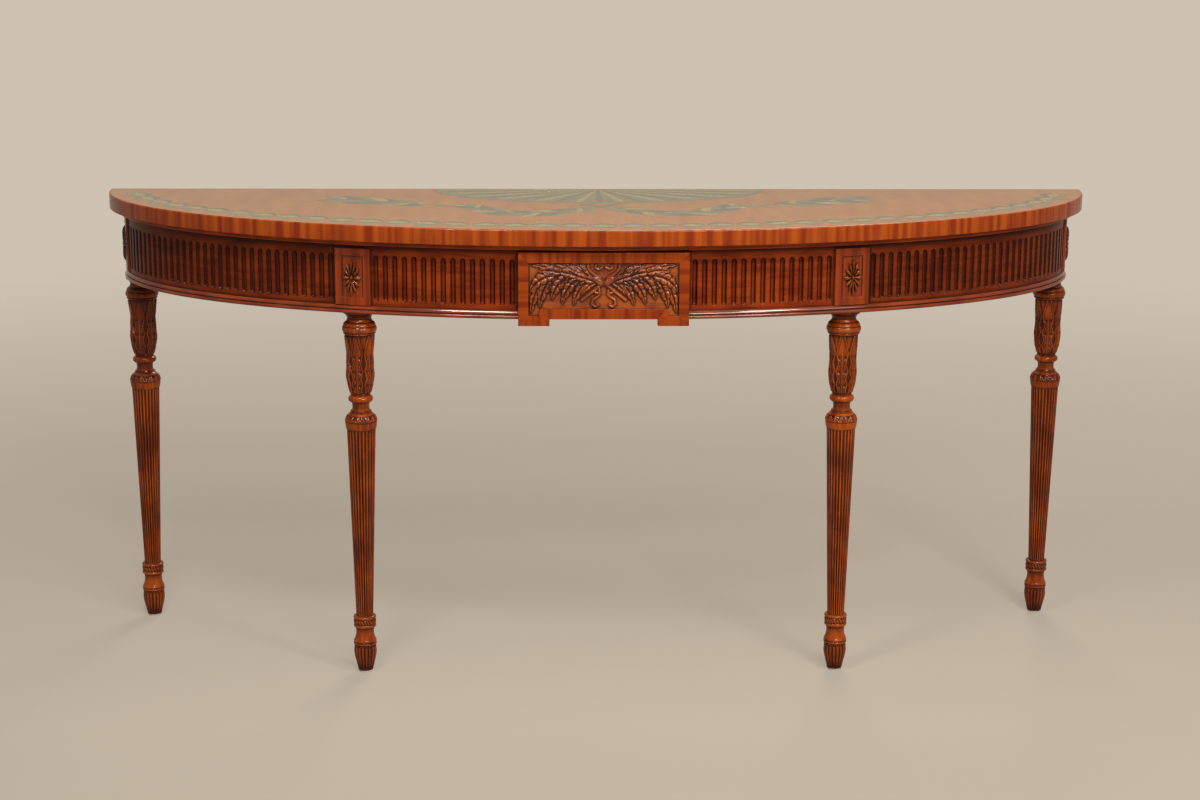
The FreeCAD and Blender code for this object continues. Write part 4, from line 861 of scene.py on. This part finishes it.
def tablet_corners(inset):
    """The stepped outline drawn in by an inset, from its upper left corner round by the right."""
    half, foot = TABLET_HALF - inset, TABLET_HALF - FOOT_WIDE + inset
    top, bottom, feet = TABLET_TOP - inset, TABLET_BOTTOM + inset, TABLET_FEET + inset
    return np.array([(-half, top), (half, top), (half, feet), (foot, feet), (foot, bottom), (-foot, bottom),
                     (-foot, feet), (-half, feet)])


def make_tablet():
    """The stepped block: a section of (inset, depth) is carried round its outline with mitred corners."""
    section = [(0.0, TABLET_BACK), (0.0, TABLET_FRONT + TABLET_ARRIS)]
    section += [(TABLET_ARRIS * (1 - math.cos(a)), TABLET_FRONT + TABLET_ARRIS * (1 - math.sin(a)))
                for a in np.radians([25, 50, 75, 90])]
    section += [(BORDER - 0.7, TABLET_FRONT), (BORDER - 0.2, TABLET_FRONT + 0.2),
                (BORDER, TABLET_FRONT + 0.7), (BORDER, FIELD_FLOOR)]
    # Painted shade on the back edge and down the wall into the sunk field; the back and the field floor get
    # 0.6.
    shade = np.array([0.5, 0, 0, 0, 0, 0, 0, 0.1, 0.4, 0.9])[:, None]
    corners = np.array([tablet_corners(inset) for inset, _ in section])
    depths = np.array([depth for _, depth in section])[:, None]
    loops = np.insert(corners, 1, depths, axis=2)
    skin = Skin()
    for side in range(8):
        pair = loops[:, [side, (side + 1) % 8]]
        along, across = (0, 2) if side % 2 == 0 else (2, 0)
        skin.grid(pair, shade, pair[..., along] + SIDE_RUN * side, pair[..., across])
    for loop in (loops[0], loops[-1]):
        skin.cap(skin.grid(loop[:, None, :], 0.6)[:, 0])
    skin.piece("stepped_tablet", FRAME_BAND, "crossbanded_mahogany", ["tablet"], crease=30)


def leaf_height(x, z, base, tip, wide, bend, rise, lobes):
    """Relief of one carved leaf on the panel: a bowed leaf with lobed edges, each half blade rounded.

    The half width is a sine of the length's share, scalloped by the lobes; across each half blade the height
    is a half circle that falls to a groove at the midrib and to the edge, with slanting veins on it.
    """
    base, tip = np.array(base, float), np.array(tip, float)
    length = np.linalg.norm(tip - base)
    way = (tip - base) / length
    share = ((x - base[0]) * way[0] + (z - base[1]) * way[1]) / length
    off = (x - base[0]) * -way[1] + (z - base[1]) * way[0] - bend * 4 * share * (1 - share)
    along, aside = np.clip(share, 0, 1), np.abs(off)
    scallop = np.abs(np.sin(np.pi * lobes * np.clip(share - 0.12 * aside / wide, 0, 1)))
    half = wide / 2 * np.sin(np.pi * along ** 0.75) ** 0.8 * (0.6 + 0.4 * np.sqrt(scallop))
    inside = (share > 0.0) & (share < 1.0) & (aside < half)
    edge = aside / np.maximum(half, 0.01)
    blade = dome(2 * edge - 1)
    swell = 0.55 + 0.45 * np.sin(np.pi * along ** 0.8)
    veins = np.abs(np.sin(np.pi * 2 * lobes * (share - 0.16 * aside / wide)))
    height = rise * swell * (0.15 + 0.85 * blade * (0.62 + 0.26 * scallop + 0.12 * veins))
    # Glaze and painted shade at the edges, the midrib groove, the notches, the vein furrows and the base.
    notches = 0.7 * smooth(0.42, 0.1, scallop) * smooth(0.3, 0.6, edge)
    furrows = 0.45 * smooth(0.4, 0.1, veins) * smooth(0.1, 0.3, edge) + 0.45 * smooth(0.35, 0.0, along)
    shade = 0.1 + smooth(0.68, 0.9, edge) + 0.9 * smooth(0.3, 0.08, edge) + notches + furrows
    return inside, height, np.clip(shade, 0, 1)


def ridge_height(x, z, path, width, rise):
    """Relief of a round rod along a path: a half circle of the distance to the nearest stretch of it."""
    path = np.array(path, float)
    nearest = np.full(x.shape, np.inf)
    for start, end in zip(path[:-1], path[1:]):
        step = end - start
        share = np.clip(((x - start[0]) * step[0] + (z - start[1]) * step[1]) / (step @ step), 0, 1)
        away = np.hypot(x - start[0] - share * step[0], z - start[1] - share * step[1])
        nearest = np.minimum(nearest, away)
    edge = nearest / (width / 2)
    # The third value is glaze and painted shade along the rod's edges.
    return edge < 1, rise * (0.4 + 0.6 * dome(edge)), smooth(0.7, 0.95, edge)


# One half of the spray, in millimetres from the middle of the tablet and up from the floor: leaf base, tip,
# width, bow, rise and lobes along an edge. Each lies over the ones before it. Ribbons, stem and calyx are
# round rods: path, width and rise.
SPRAY = [
    ((16, 751), (45, 779), 8, 1.5, 3.2, 2), ((24, 751), (62, 779), 9, 2, 3.4, 3),
    ((34, 753), (82, 779), 11, 3, 3.6, 3), ((52, 757), (104, 779), 13, 3, 3.8, 3),
    ((80, 764), (128, 776), 14, 3, 4.0, 3), ((112, 742), (127, 689), 17, 3, 5.0, 3),
    ((88, 756), (112, 699), 22, 6, 5.2, 4), ((62, 757), (91, 713), 22, 6, 5.4, 4),
    ((44, 753), (73, 705), 20, 6, 5.2, 4), ((27, 749), (53, 703), 18, 5, 5.0, 4),
    ((14, 745), (40, 721), 13, 4, 4.4, 3), ((16, 745), (64, 758), 17, 3, 5.4, 3),
    ((46, 755), (88, 764), 18, 3, 5.6, 3), ((74, 761), (116, 764), 19, 4, 6.0, 3),
    ((86, 757), (130, 727), 25, 8, 6.2, 4),
]
RIBBONS = [
    ([(28, 778), (27, 770), (22, 763), (14, 757), (6, 752)], 5.0, 4.2),
    ([(3, 772), (9, 768), (15, 771), (14, 776)], 4.2, 3.4),
    ([(8, 731), (7, 724), (12, 719), (19, 715), (21, 707), (15, 702), (10, 705)], 4.8, 4.0),
    ([(24, 724), (18, 729), (11, 726)], 5.0, 4.0),
]
STEM = ([(-6, 749), (12, 735), (38, 714)], 5.8, 5.2)
CALYX = ([(6, 744), (14, 751)], 11.0, 5.4)
POCKETS = [[(33, 743), (44, 738)], [(46, 747), (58, 742)], [(47, 757), (58, 764)], [(29, 757), (38, 765)],
           [(67, 750), (76, 743)], [(90, 745), (97, 734)]]
POCKET_WIDE = 4.6
GROUND_BLUR = 24


def make_carving():
    """The carved panel as one relief on a fine grid: leaves, ribbons and stems laid over each other.

    Pockets are sunk between the leaves and painted darkest; the ground gets painted shadow near what stands
    on it and along the frame's top and sides; painted light from above darkens faces that look down and
    lightens faces that look up.
    """
    half = TABLET_HALF - BORDER - FIT
    low, high = TABLET_FEET + BORDER + FIT, TABLET_TOP - BORDER - FIT
    x, z = np.meshgrid(np.linspace(-half, half, 421), np.linspace(low, high, 151), indexing="ij")
    height, shade = np.zeros(x.shape), np.zeros(x.shape)

    def lay(inside, relief, dark):
        """Lays a relief and its glazing and painted shade over what is there already."""
        nonlocal height, shade
        height = np.where(inside, np.maximum(relief, 0.35 * height + 0.65 * relief), height)
        shade = np.where(inside, dark, shade)

    for way in (-1, 1):
        for leaf in SPRAY:
            lay(*leaf_height(x * way, z, *leaf))
        for ribbon in RIBBONS:
            lay(*ridge_height(x * way, z, *ribbon))
    for rod, way in itertools.product((STEM, CALYX), (1, -1)):
        lay(*ridge_height(x * way, z, *rod))
    for path, way in itertools.product(POCKETS, (1, -1)):
        # Pockets painted darkest: painted shade.
        sunk, _, lip = ridge_height(x * way, z, path, POCKET_WIDE, 1)
        height = np.where(sunk, height * (0.25 + 0.75 * lip), height)
        shade = np.where(sunk, 1.0, shade)
    carved_here = height > 0.05
    cover = carved_here.astype(float)
    for _ in range(GROUND_BLUR):
        ring = np.pad(cover, 1, mode="edge")
        cover = (ring[:-2, 1:-1] + ring[2:, 1:-1] + ring[1:-1, :-2] + ring[1:-1, 2:] + cover) / 5
    # Painted shadow on the ground, darkest near the carving.
    shade = np.where(carved_here, shade, np.clip(0.12 + 2.4 * cover, 0, 1))
    # Painted light from above: faces that look down darken, and faces that look up lighten.
    tilt = np.gradient(height, z[0, 1] - z[0, 0], axis=1)
    shade = np.clip(shade + 0.8 * smooth(0.15, 0.8, tilt) - 0.35 * smooth(0.1, 0.8, -tilt), 0, 1)
    # Painted shadow of the frame along the top and the sides of the field.
    shade = np.maximum(shade, 0.95 * smooth(4.5, 1.0, np.minimum(half - np.abs(x), high - z)))
    hidden = (np.abs(x) < TABLET_HALF - FOOT_WIDE + BORDER - FIT) & (z < TABLET_BOTTOM + BORDER - FIT)
    height = np.where(hidden, -0.5, height)
    face = np.stack([x, FIELD_FLOOR - PANEL_THICK - height, z], -1)
    back = np.stack([x, np.full(x.shape, FIELD_FLOOR), z], -1)
    skin = Skin().block(face, back, shade, x, z)
    skin.piece("carved_spray", CARVED, "carved_mahogany", ["tablet_carving"], crease=70)


# Painted top
def make_top_face():
    """The veneered face: a thin half-elliptical sheet; each row of points spans the ellipse at one depth."""
    turn = np.linspace(0, np.pi / 2, 121)[:, None]
    right = rim(BAND_THICK, turn)
    x = right[..., 0] * np.linspace(1, -1, 41)
    y = np.broadcast_to(right[..., 1], x.shape)
    face = np.stack([x, y, np.full(x.shape, TOP_Z)], -1)
    outline = np.concatenate([face[0], face[1:, -1], face[-2:0:-1, 0]])
    thick = np.array([0, 0, 1.0])
    skin = Skin()
    skin.grid(face, 0.0, x, y)
    skin.grid(face - thick, 0.0, x, y)
    skin.grid(np.stack([outline, outline - thick], 1), loop_rows=True)
    skin.piece("satinwood_face", SATINWOOD, "painted_satinwood", ["top_veneer"], crease=30)


# Strokes lie in layers a few hundredths of a millimetre apart, and each is a hair off its neighbours.
PAINT_Z = TOP_Z + 0.04
PAINT_LAYER, PAINT_STEP, PAINT_STEPS, PAINT_EDGE = 0.03, 0.002, 14, 0.06
STROKES = itertools.count()


def brush(skin, path, half, layer):
    """A painted stroke: strips either side of a path, a hair above the veneer, turned down at the edges."""
    path = np.asarray(path, float)
    step = np.gradient(path, axis=0)
    aside = quarter_turn(step) / np.maximum(np.linalg.norm(step, axis=1, keepdims=True), 1e-9)
    half = np.broadcast_to(half, len(path))[:, None]
    offsets = np.array([-1.0, -0.98, 0.0, 0.98, 1.0])
    plan = path[:, None, :] + aside[:, None, :] * (half * offsets)[..., None]
    rise = PAINT_LAYER * layer + PAINT_STEP * (next(STROKES) % PAINT_STEPS)
    lift = PAINT_Z + rise - (rise + PAINT_EDGE) * np.array([1, 0, 0, 0, 1])
    skin.grid(raised(plan, lift)[:, ::-1])


def painted_leaf(skin, base, heading, length, wide, bow, layer):
    """A leaf stroke: its width follows a sine that is fuller near the base, along a bowed midrib."""
    share = np.linspace(0, 1, 9)
    way = np.array([math.cos(heading), math.sin(heading)])
    bowed = (bow * 4 * share * (1 - share))[:, None] * quarter_turn(way)
    path = np.array(base) + share[:, None] * length * way + bowed
    brush(skin, path, 0.5 * wide * np.sin(np.pi * share ** 0.8) ** 0.8 + 0.05, layer)


def arc_points(spots, count):
    """A smooth path through a few plan points: the polynomial through them in equal steps."""
    spots = np.array(spots, float)
    curve = np.polyfit(np.linspace(0, 1, len(spots)), spots, len(spots) - 1)
    return np.vander(np.linspace(0, 1, count), len(spots)) @ curve


BORDER_IN, BORDER_PITCH, BORDER_HALF = 53.0, 51.0, 21.5
FAN_WIDE, FAN_DEEP, FAN_RAYS = 308.0, 168.0, 23
FAN_CENTRE = np.array([0, BACK_Y - 6])


def paint_border(straw, sage, slate):
    """A twisted ribbon border: two sine waves crossing along the rim, with pale lenses between them."""
    run = lengths_along(rim(BORDER_IN, TURNS))
    count = int(run[-1] / BORDER_PITCH)
    share = np.linspace(0, 1, 11)
    hump = np.sin(np.pi * share)
    fat = 2.4 + 5.6 * hump
    wave = BORDER_HALF * 0.85 * hump

    def place(units, out):
        """Plan points some units along the border and some way out from its middle line."""
        turn = np.interp(units * run[-1] / count, run, TURNS)
        return rim(BORDER_IN, turn) + rim_normal(BORDER_IN, turn) * np.asarray(out)[..., None]

    for unit in range(1, count - 1):
        brush(straw, place(unit + 0.06 + 0.88 * share, 0 * share), 0.5 + 12.0 * hump ** 0.9, 1)
        brush(sage, place(unit + share, wave), fat, 2)
        brush(slate, place(unit + share, -wave), fat * 0.8, 3)
        brush(straw, place(unit - 0.1 + 0.2 * share, 0 * share), 2.2 * hump + 0.1, 4)


def fan_edge(angles):
    """The fan's half oval from its centre: its width times cos, its depth times sin, towards the front."""
    return np.stack([FAN_WIDE * np.cos(angles), -FAN_DEEP * np.sin(angles)], -1)


def paint_fan(straw, sage, slate):
    """A half-oval fan at the middle of the back: tapering rays from one point, on a scalloped ground."""
    angles = np.linspace(0.0, np.pi, FAN_RAYS * 8 + 1)
    edge = fan_edge(angles) * (1 + 0.035 * np.abs(np.sin(angles * FAN_RAYS)))[:, None]
    ground = FAN_CENTRE + edge * np.array([0.02, 0.5, 1.0])[:, None, None]
    sage.grid(raised(ground, PAINT_Z)[::-1])
    taper = 0.2 * np.linspace(0.1, 1, 9) ** 0.9 * np.array([1] * 8 + [0.35])
    for ray in range(FAN_RAYS):
        angle = np.pi * (ray + 0.5) / FAN_RAYS
        path = FAN_CENTRE + 0.97 * fan_edge(angle) * np.linspace(0.06, 1, 9)[:, None]
        spread = math.hypot(FAN_WIDE * math.sin(angle), FAN_DEEP * math.cos(angle)) * np.pi / FAN_RAYS
        brush(straw if ray % 2 == 0 else slate, path, np.minimum(spread * taper, 7.0), 1)
    brush(slate, FAN_CENTRE + edge[2:-2:2], 1.6, 2)


def paint_garland(path, straw, sage, slate, size):
    """Leaves set in pairs along a path, fuller in its middle, over a thin stem."""
    brush(slate, path, 1.3, 0)
    last = len(path) - 1
    headings = np.arctan2(*np.gradient(path, axis=0).T[::-1])
    for number, side in itertools.product(range(1, last), (-1, 1)):
        full = size * (0.55 + 0.45 * math.sin(math.pi * number / last))
        skin = (slate, sage, straw, slate, sage)[(2 * number + (side > 0)) % 5]
        painted_leaf(skin, path[number], headings[number] + side * 0.62, full * 1.5, full * 0.55,
                     side * full * 0.12, 1 + (number + side) % 3)


# The right half of the painting: plan points of its paths, and headings and lengths of its loose leaves.
SWAG = [(12, 12), (60, -22), (135, -52), (205, -16), (252, 44)]
END_SPRAY = [(312, 50), (355, 62), (405, 82), (455, 102), (498, 116)]
LINK = [(252, 44), (274, 30), (292, 32), (312, 50)]
LINK_MIDDLE, BOW_MIDDLE = (283, 32), (2, 12)
LINK_LEAVES = [(2.5, 34), (3.6, 40), (0.7, 30), (5.6, 38)]
BOW_LEAVES = [(0.9, 60), (-0.15, 54), (-1.1, 62)]
SWAG_LEAF, END_SPRAY_LEAF = 36, 46


def paint_top():
    """Border, fan, swags, bow and end sprays in three paints on the satinwood."""
    straw, sage, slate = Skin(), Skin(), Skin()
    paint_border(straw, sage, slate)
    paint_fan(straw, sage, slate)
    for side in (-1, 1):
        flip = np.array([side, 1])
        mirror = 0 if side > 0 else math.pi
        paint_garland(arc_points(SWAG, 20) * flip, straw, sage, slate, SWAG_LEAF)
        paint_garland(arc_points(END_SPRAY, 14) * flip, straw, sage, slate, END_SPRAY_LEAF)
        brush(slate, arc_points(LINK, 9) * flip, 2.4, 1)
        for heading, reach in LINK_LEAVES:
            painted_leaf(sage, LINK_MIDDLE * flip, mirror + side * heading, reach, 9, 4 * side, 2)
        for heading, reach in BOW_LEAVES:
            paint = slate if heading > 0 else sage
            painted_leaf(paint, BOW_MIDDLE * flip, mirror + side * heading, reach, 15, 7 * side, 3)
    for skin, name, paint in ((sage, "sage", SAGE), (straw, "straw", STRAW), (slate, "slate", SLATE)):
        skin.piece(f"painted_{name}", paint, "painted_satinwood", closed=False, crease=4)


def dress_frame():
    """Finishes of the CAD nodes that stay as they are: the hidden carcase, the back strip and the screws."""
    hidden = ["rail_back", "top_core", "bearer_left", "bearer_right", "corner_block_left",
              "corner_block_right", "cleat_front_left", "cleat_front_right", "cleat_side_left",
              "cleat_side_right", "cleat_back"]
    finishes = {name: SECONDARY for name in hidden}
    finishes.update({f"post_{post.name}": POSTS_STAIN for post in POSTS})
    finishes.update(top_back_strip=CARVED, top_screws=STEEL, tablet_screws=STEEL)
    for name, material in finishes.items():
        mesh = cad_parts[name].data
        mesh.materials.clear()
        mesh.materials.append(material)


# Floor, lamps and camera, in metres and watts. The lacquer's gloss sees about GLOSS_SEES of the pale surround
# that the eye sees, and the world lights the table with WORLD_FILL of it.
SURROUND = "cec2b2"
FLOOR_TONE = "b3a899"
GLOSS_SEES = 0.7
WORLD_FILL = 0.14
LAMPS = [
    ("front", (1.3, -4.5, 3.4), (0.0, 0, 0.6), (2.3, 1.0), 154, "fff6ea"),
    ("ceiling_left", (-0.7, -1.3, 2.5), (-0.7, -1.29, 0), (0.42, 0.42), 24, "fffaf2"),
    ("ceiling_right", (1.2, -1.6, 2.5), (1.2, -1.59, 0), (0.42, 0.42), 26, "fffaf2"),
    ("front_right", (3.0, -3.2, 3.6), (0.3, 0, 0.6), (1.0, 1.0), 14, "fff4e6"),
    ("ceiling", (0.3, -1.1, 3.8), (0, 0, 0), (3.4, 2.2), 20, "fffaf2"),
    ("behind", (0.8, 3.6, 3.4), (0, 0, 0.4), (1.6, 1.2), 80, "fff6ea"),
]
EYE = (-0.1129, -4.3403, 1.5203)
YAW, PITCH, ROLL = np.radians([1.491, 13.454, 0.264])
LENS, SENSOR = 72.15, 36.0


def surround_seen(tree):
    """How much of the surround a ray sees: all of it by eye, a part by gloss, and none otherwise."""
    ray = add(tree, "LightPath")
    seen = add(tree, "Math", {0: ray.outputs["Is Glossy Ray"], 1: GLOSS_SEES,
                              2: ray.outputs["Is Camera Ray"]}, operation="MULTIPLY_ADD", use_clamp=True)
    return seen.outputs[0]


def pale_floor(name, tone):
    """Matt painted floor, faintly mottled; far from the table it passes into the surround for eye and gloss.

    The share of surround is a smooth step of the distance from the table, in metres.
    """
    made, tree, place = new_finish(name)
    mottle = add(tree, "TexNoise", {"Vector": place, "Scale": 1.4, "Detail": 3.0})
    low = tuple(channel * 0.94 for channel in colour(tone)[:3]) + (1.0,)
    shade = add(tree, "MixRGB", {"Fac": mottle.outputs["Fac"], "Color1": low, "Color2": colour(tone)})
    paint = add(tree, "BsdfPrincipled", {"Base Color": shade.outputs[0], "Roughness": 0.75,
                                         "Specular IOR Level": 0.1})
    away = add(tree, "VectorMath", {0: place}, operation="LENGTH")
    far = add(tree, "MapRange", {"Value": away.outputs["Value"], "From Min": 1.2, "From Max": 4.6,
                                 "To Min": 0.45, "To Max": 1.0}, interpolation_type="SMOOTHSTEP")
    share = add(tree, "Math", {0: surround_seen(tree), 1: far.outputs[0]}, operation="MULTIPLY")
    glow = add(tree, "Emission", {"Color": colour(SURROUND), "Strength": 1.0})
    both = add(tree, "MixShader", {0: share.outputs[0], 1: paint.outputs["BSDF"], 2: glow.outputs[0]})
    add(tree, "OutputMaterial", {"Surface": both.outputs[0]})
    return made


def make_floor():
    """A level disc all round the table: rings of points about its middle, wide enough to meet the horizon."""
    reach = np.array([0.01, 2.0, 6.0, 40.0])[:, None] / MM
    skin = Skin()
    index = skin.grid(turned(0.0, reach, full_circle(64)), loop_columns=True)
    skin.cap(index[0])
    put("studio_floor", skin.mesh("studio_floor", pale_floor("pale_painted_floor", FLOOR_TONE)))


def stand(axes, place):
    """The matrix that turns an object to three axes and sets it at a place."""
    matrix = np.eye(4)
    matrix[:3, :3] = np.stack(axes, -1)
    matrix[:3, 3] = place
    return Matrix(matrix.tolist())


def lamp(name, place, target, size, power, tint):
    """A rectangular soft lamp at a place, turned to a target."""
    light = bpy.data.lights.new(name, "AREA")
    light.shape = "RECTANGLE"
    light.size, light.size_y = size
    light.energy = power
    light.color = colour(tint)[:3]
    away = np.array(place, float) - np.array(target, float)
    away /= np.linalg.norm(away)
    side = np.cross([0, 0, 1.0], away)
    side /= np.linalg.norm(side)
    made = put(name, light)
    made.matrix_world = stand([side, np.cross(away, side), away], place)
    made.visible_camera = False


def make_light():
    """Soft studio light: a large lamp in front, a weak one to its right, three overhead and one behind.

    The world is pale: eye and gloss see the surround's colour, and other rays get only a little of it.
    """
    world = bpy.data.worlds.new("soft_room")
    bpy.context.scene.world = world
    world.use_nodes = True
    tree = world.node_tree
    background = tree.nodes["Background"]
    background.inputs["Color"].default_value = colour(SURROUND)
    level = add(tree, "MapRange", {"Value": surround_seen(tree), "To Min": WORLD_FILL, "To Max": 1.0})
    tree.links.new(level.outputs[0], background.inputs["Strength"])
    for settings in LAMPS:
        lamp(*settings)


def make_camera():
    """The photograph's view: a place, yaw, pitch and roll, with a long lens."""
    level = np.array([math.cos(YAW), -math.sin(YAW), 0.0])
    ahead = np.array([math.sin(YAW) * math.cos(PITCH), math.cos(YAW) * math.cos(PITCH), -math.sin(PITCH)])
    above = np.cross(level, ahead)
    right = level * math.cos(ROLL) + above * math.sin(ROLL)
    up = above * math.cos(ROLL) - level * math.sin(ROLL)
    lens = bpy.data.cameras.new("camera")
    lens.sensor_fit = "HORIZONTAL"
    lens.sensor_width = SENSOR
    lens.lens = LENS
    made = put("camera", lens)
    made.matrix_world = stand([right, up, -ahead], EYE)
    bpy.context.scene.camera = made


make_camera()
make_legs()
make_glides()
make_rails()
make_bands()
make_dies()
make_flowers()
make_tablet()
make_carving()
make_top_face()
paint_top()
dress_frame()
make_floor()
make_light()
bpy.context.scene.view_settings.view_transform = "Standard"

bpy.context.view_layer.update()
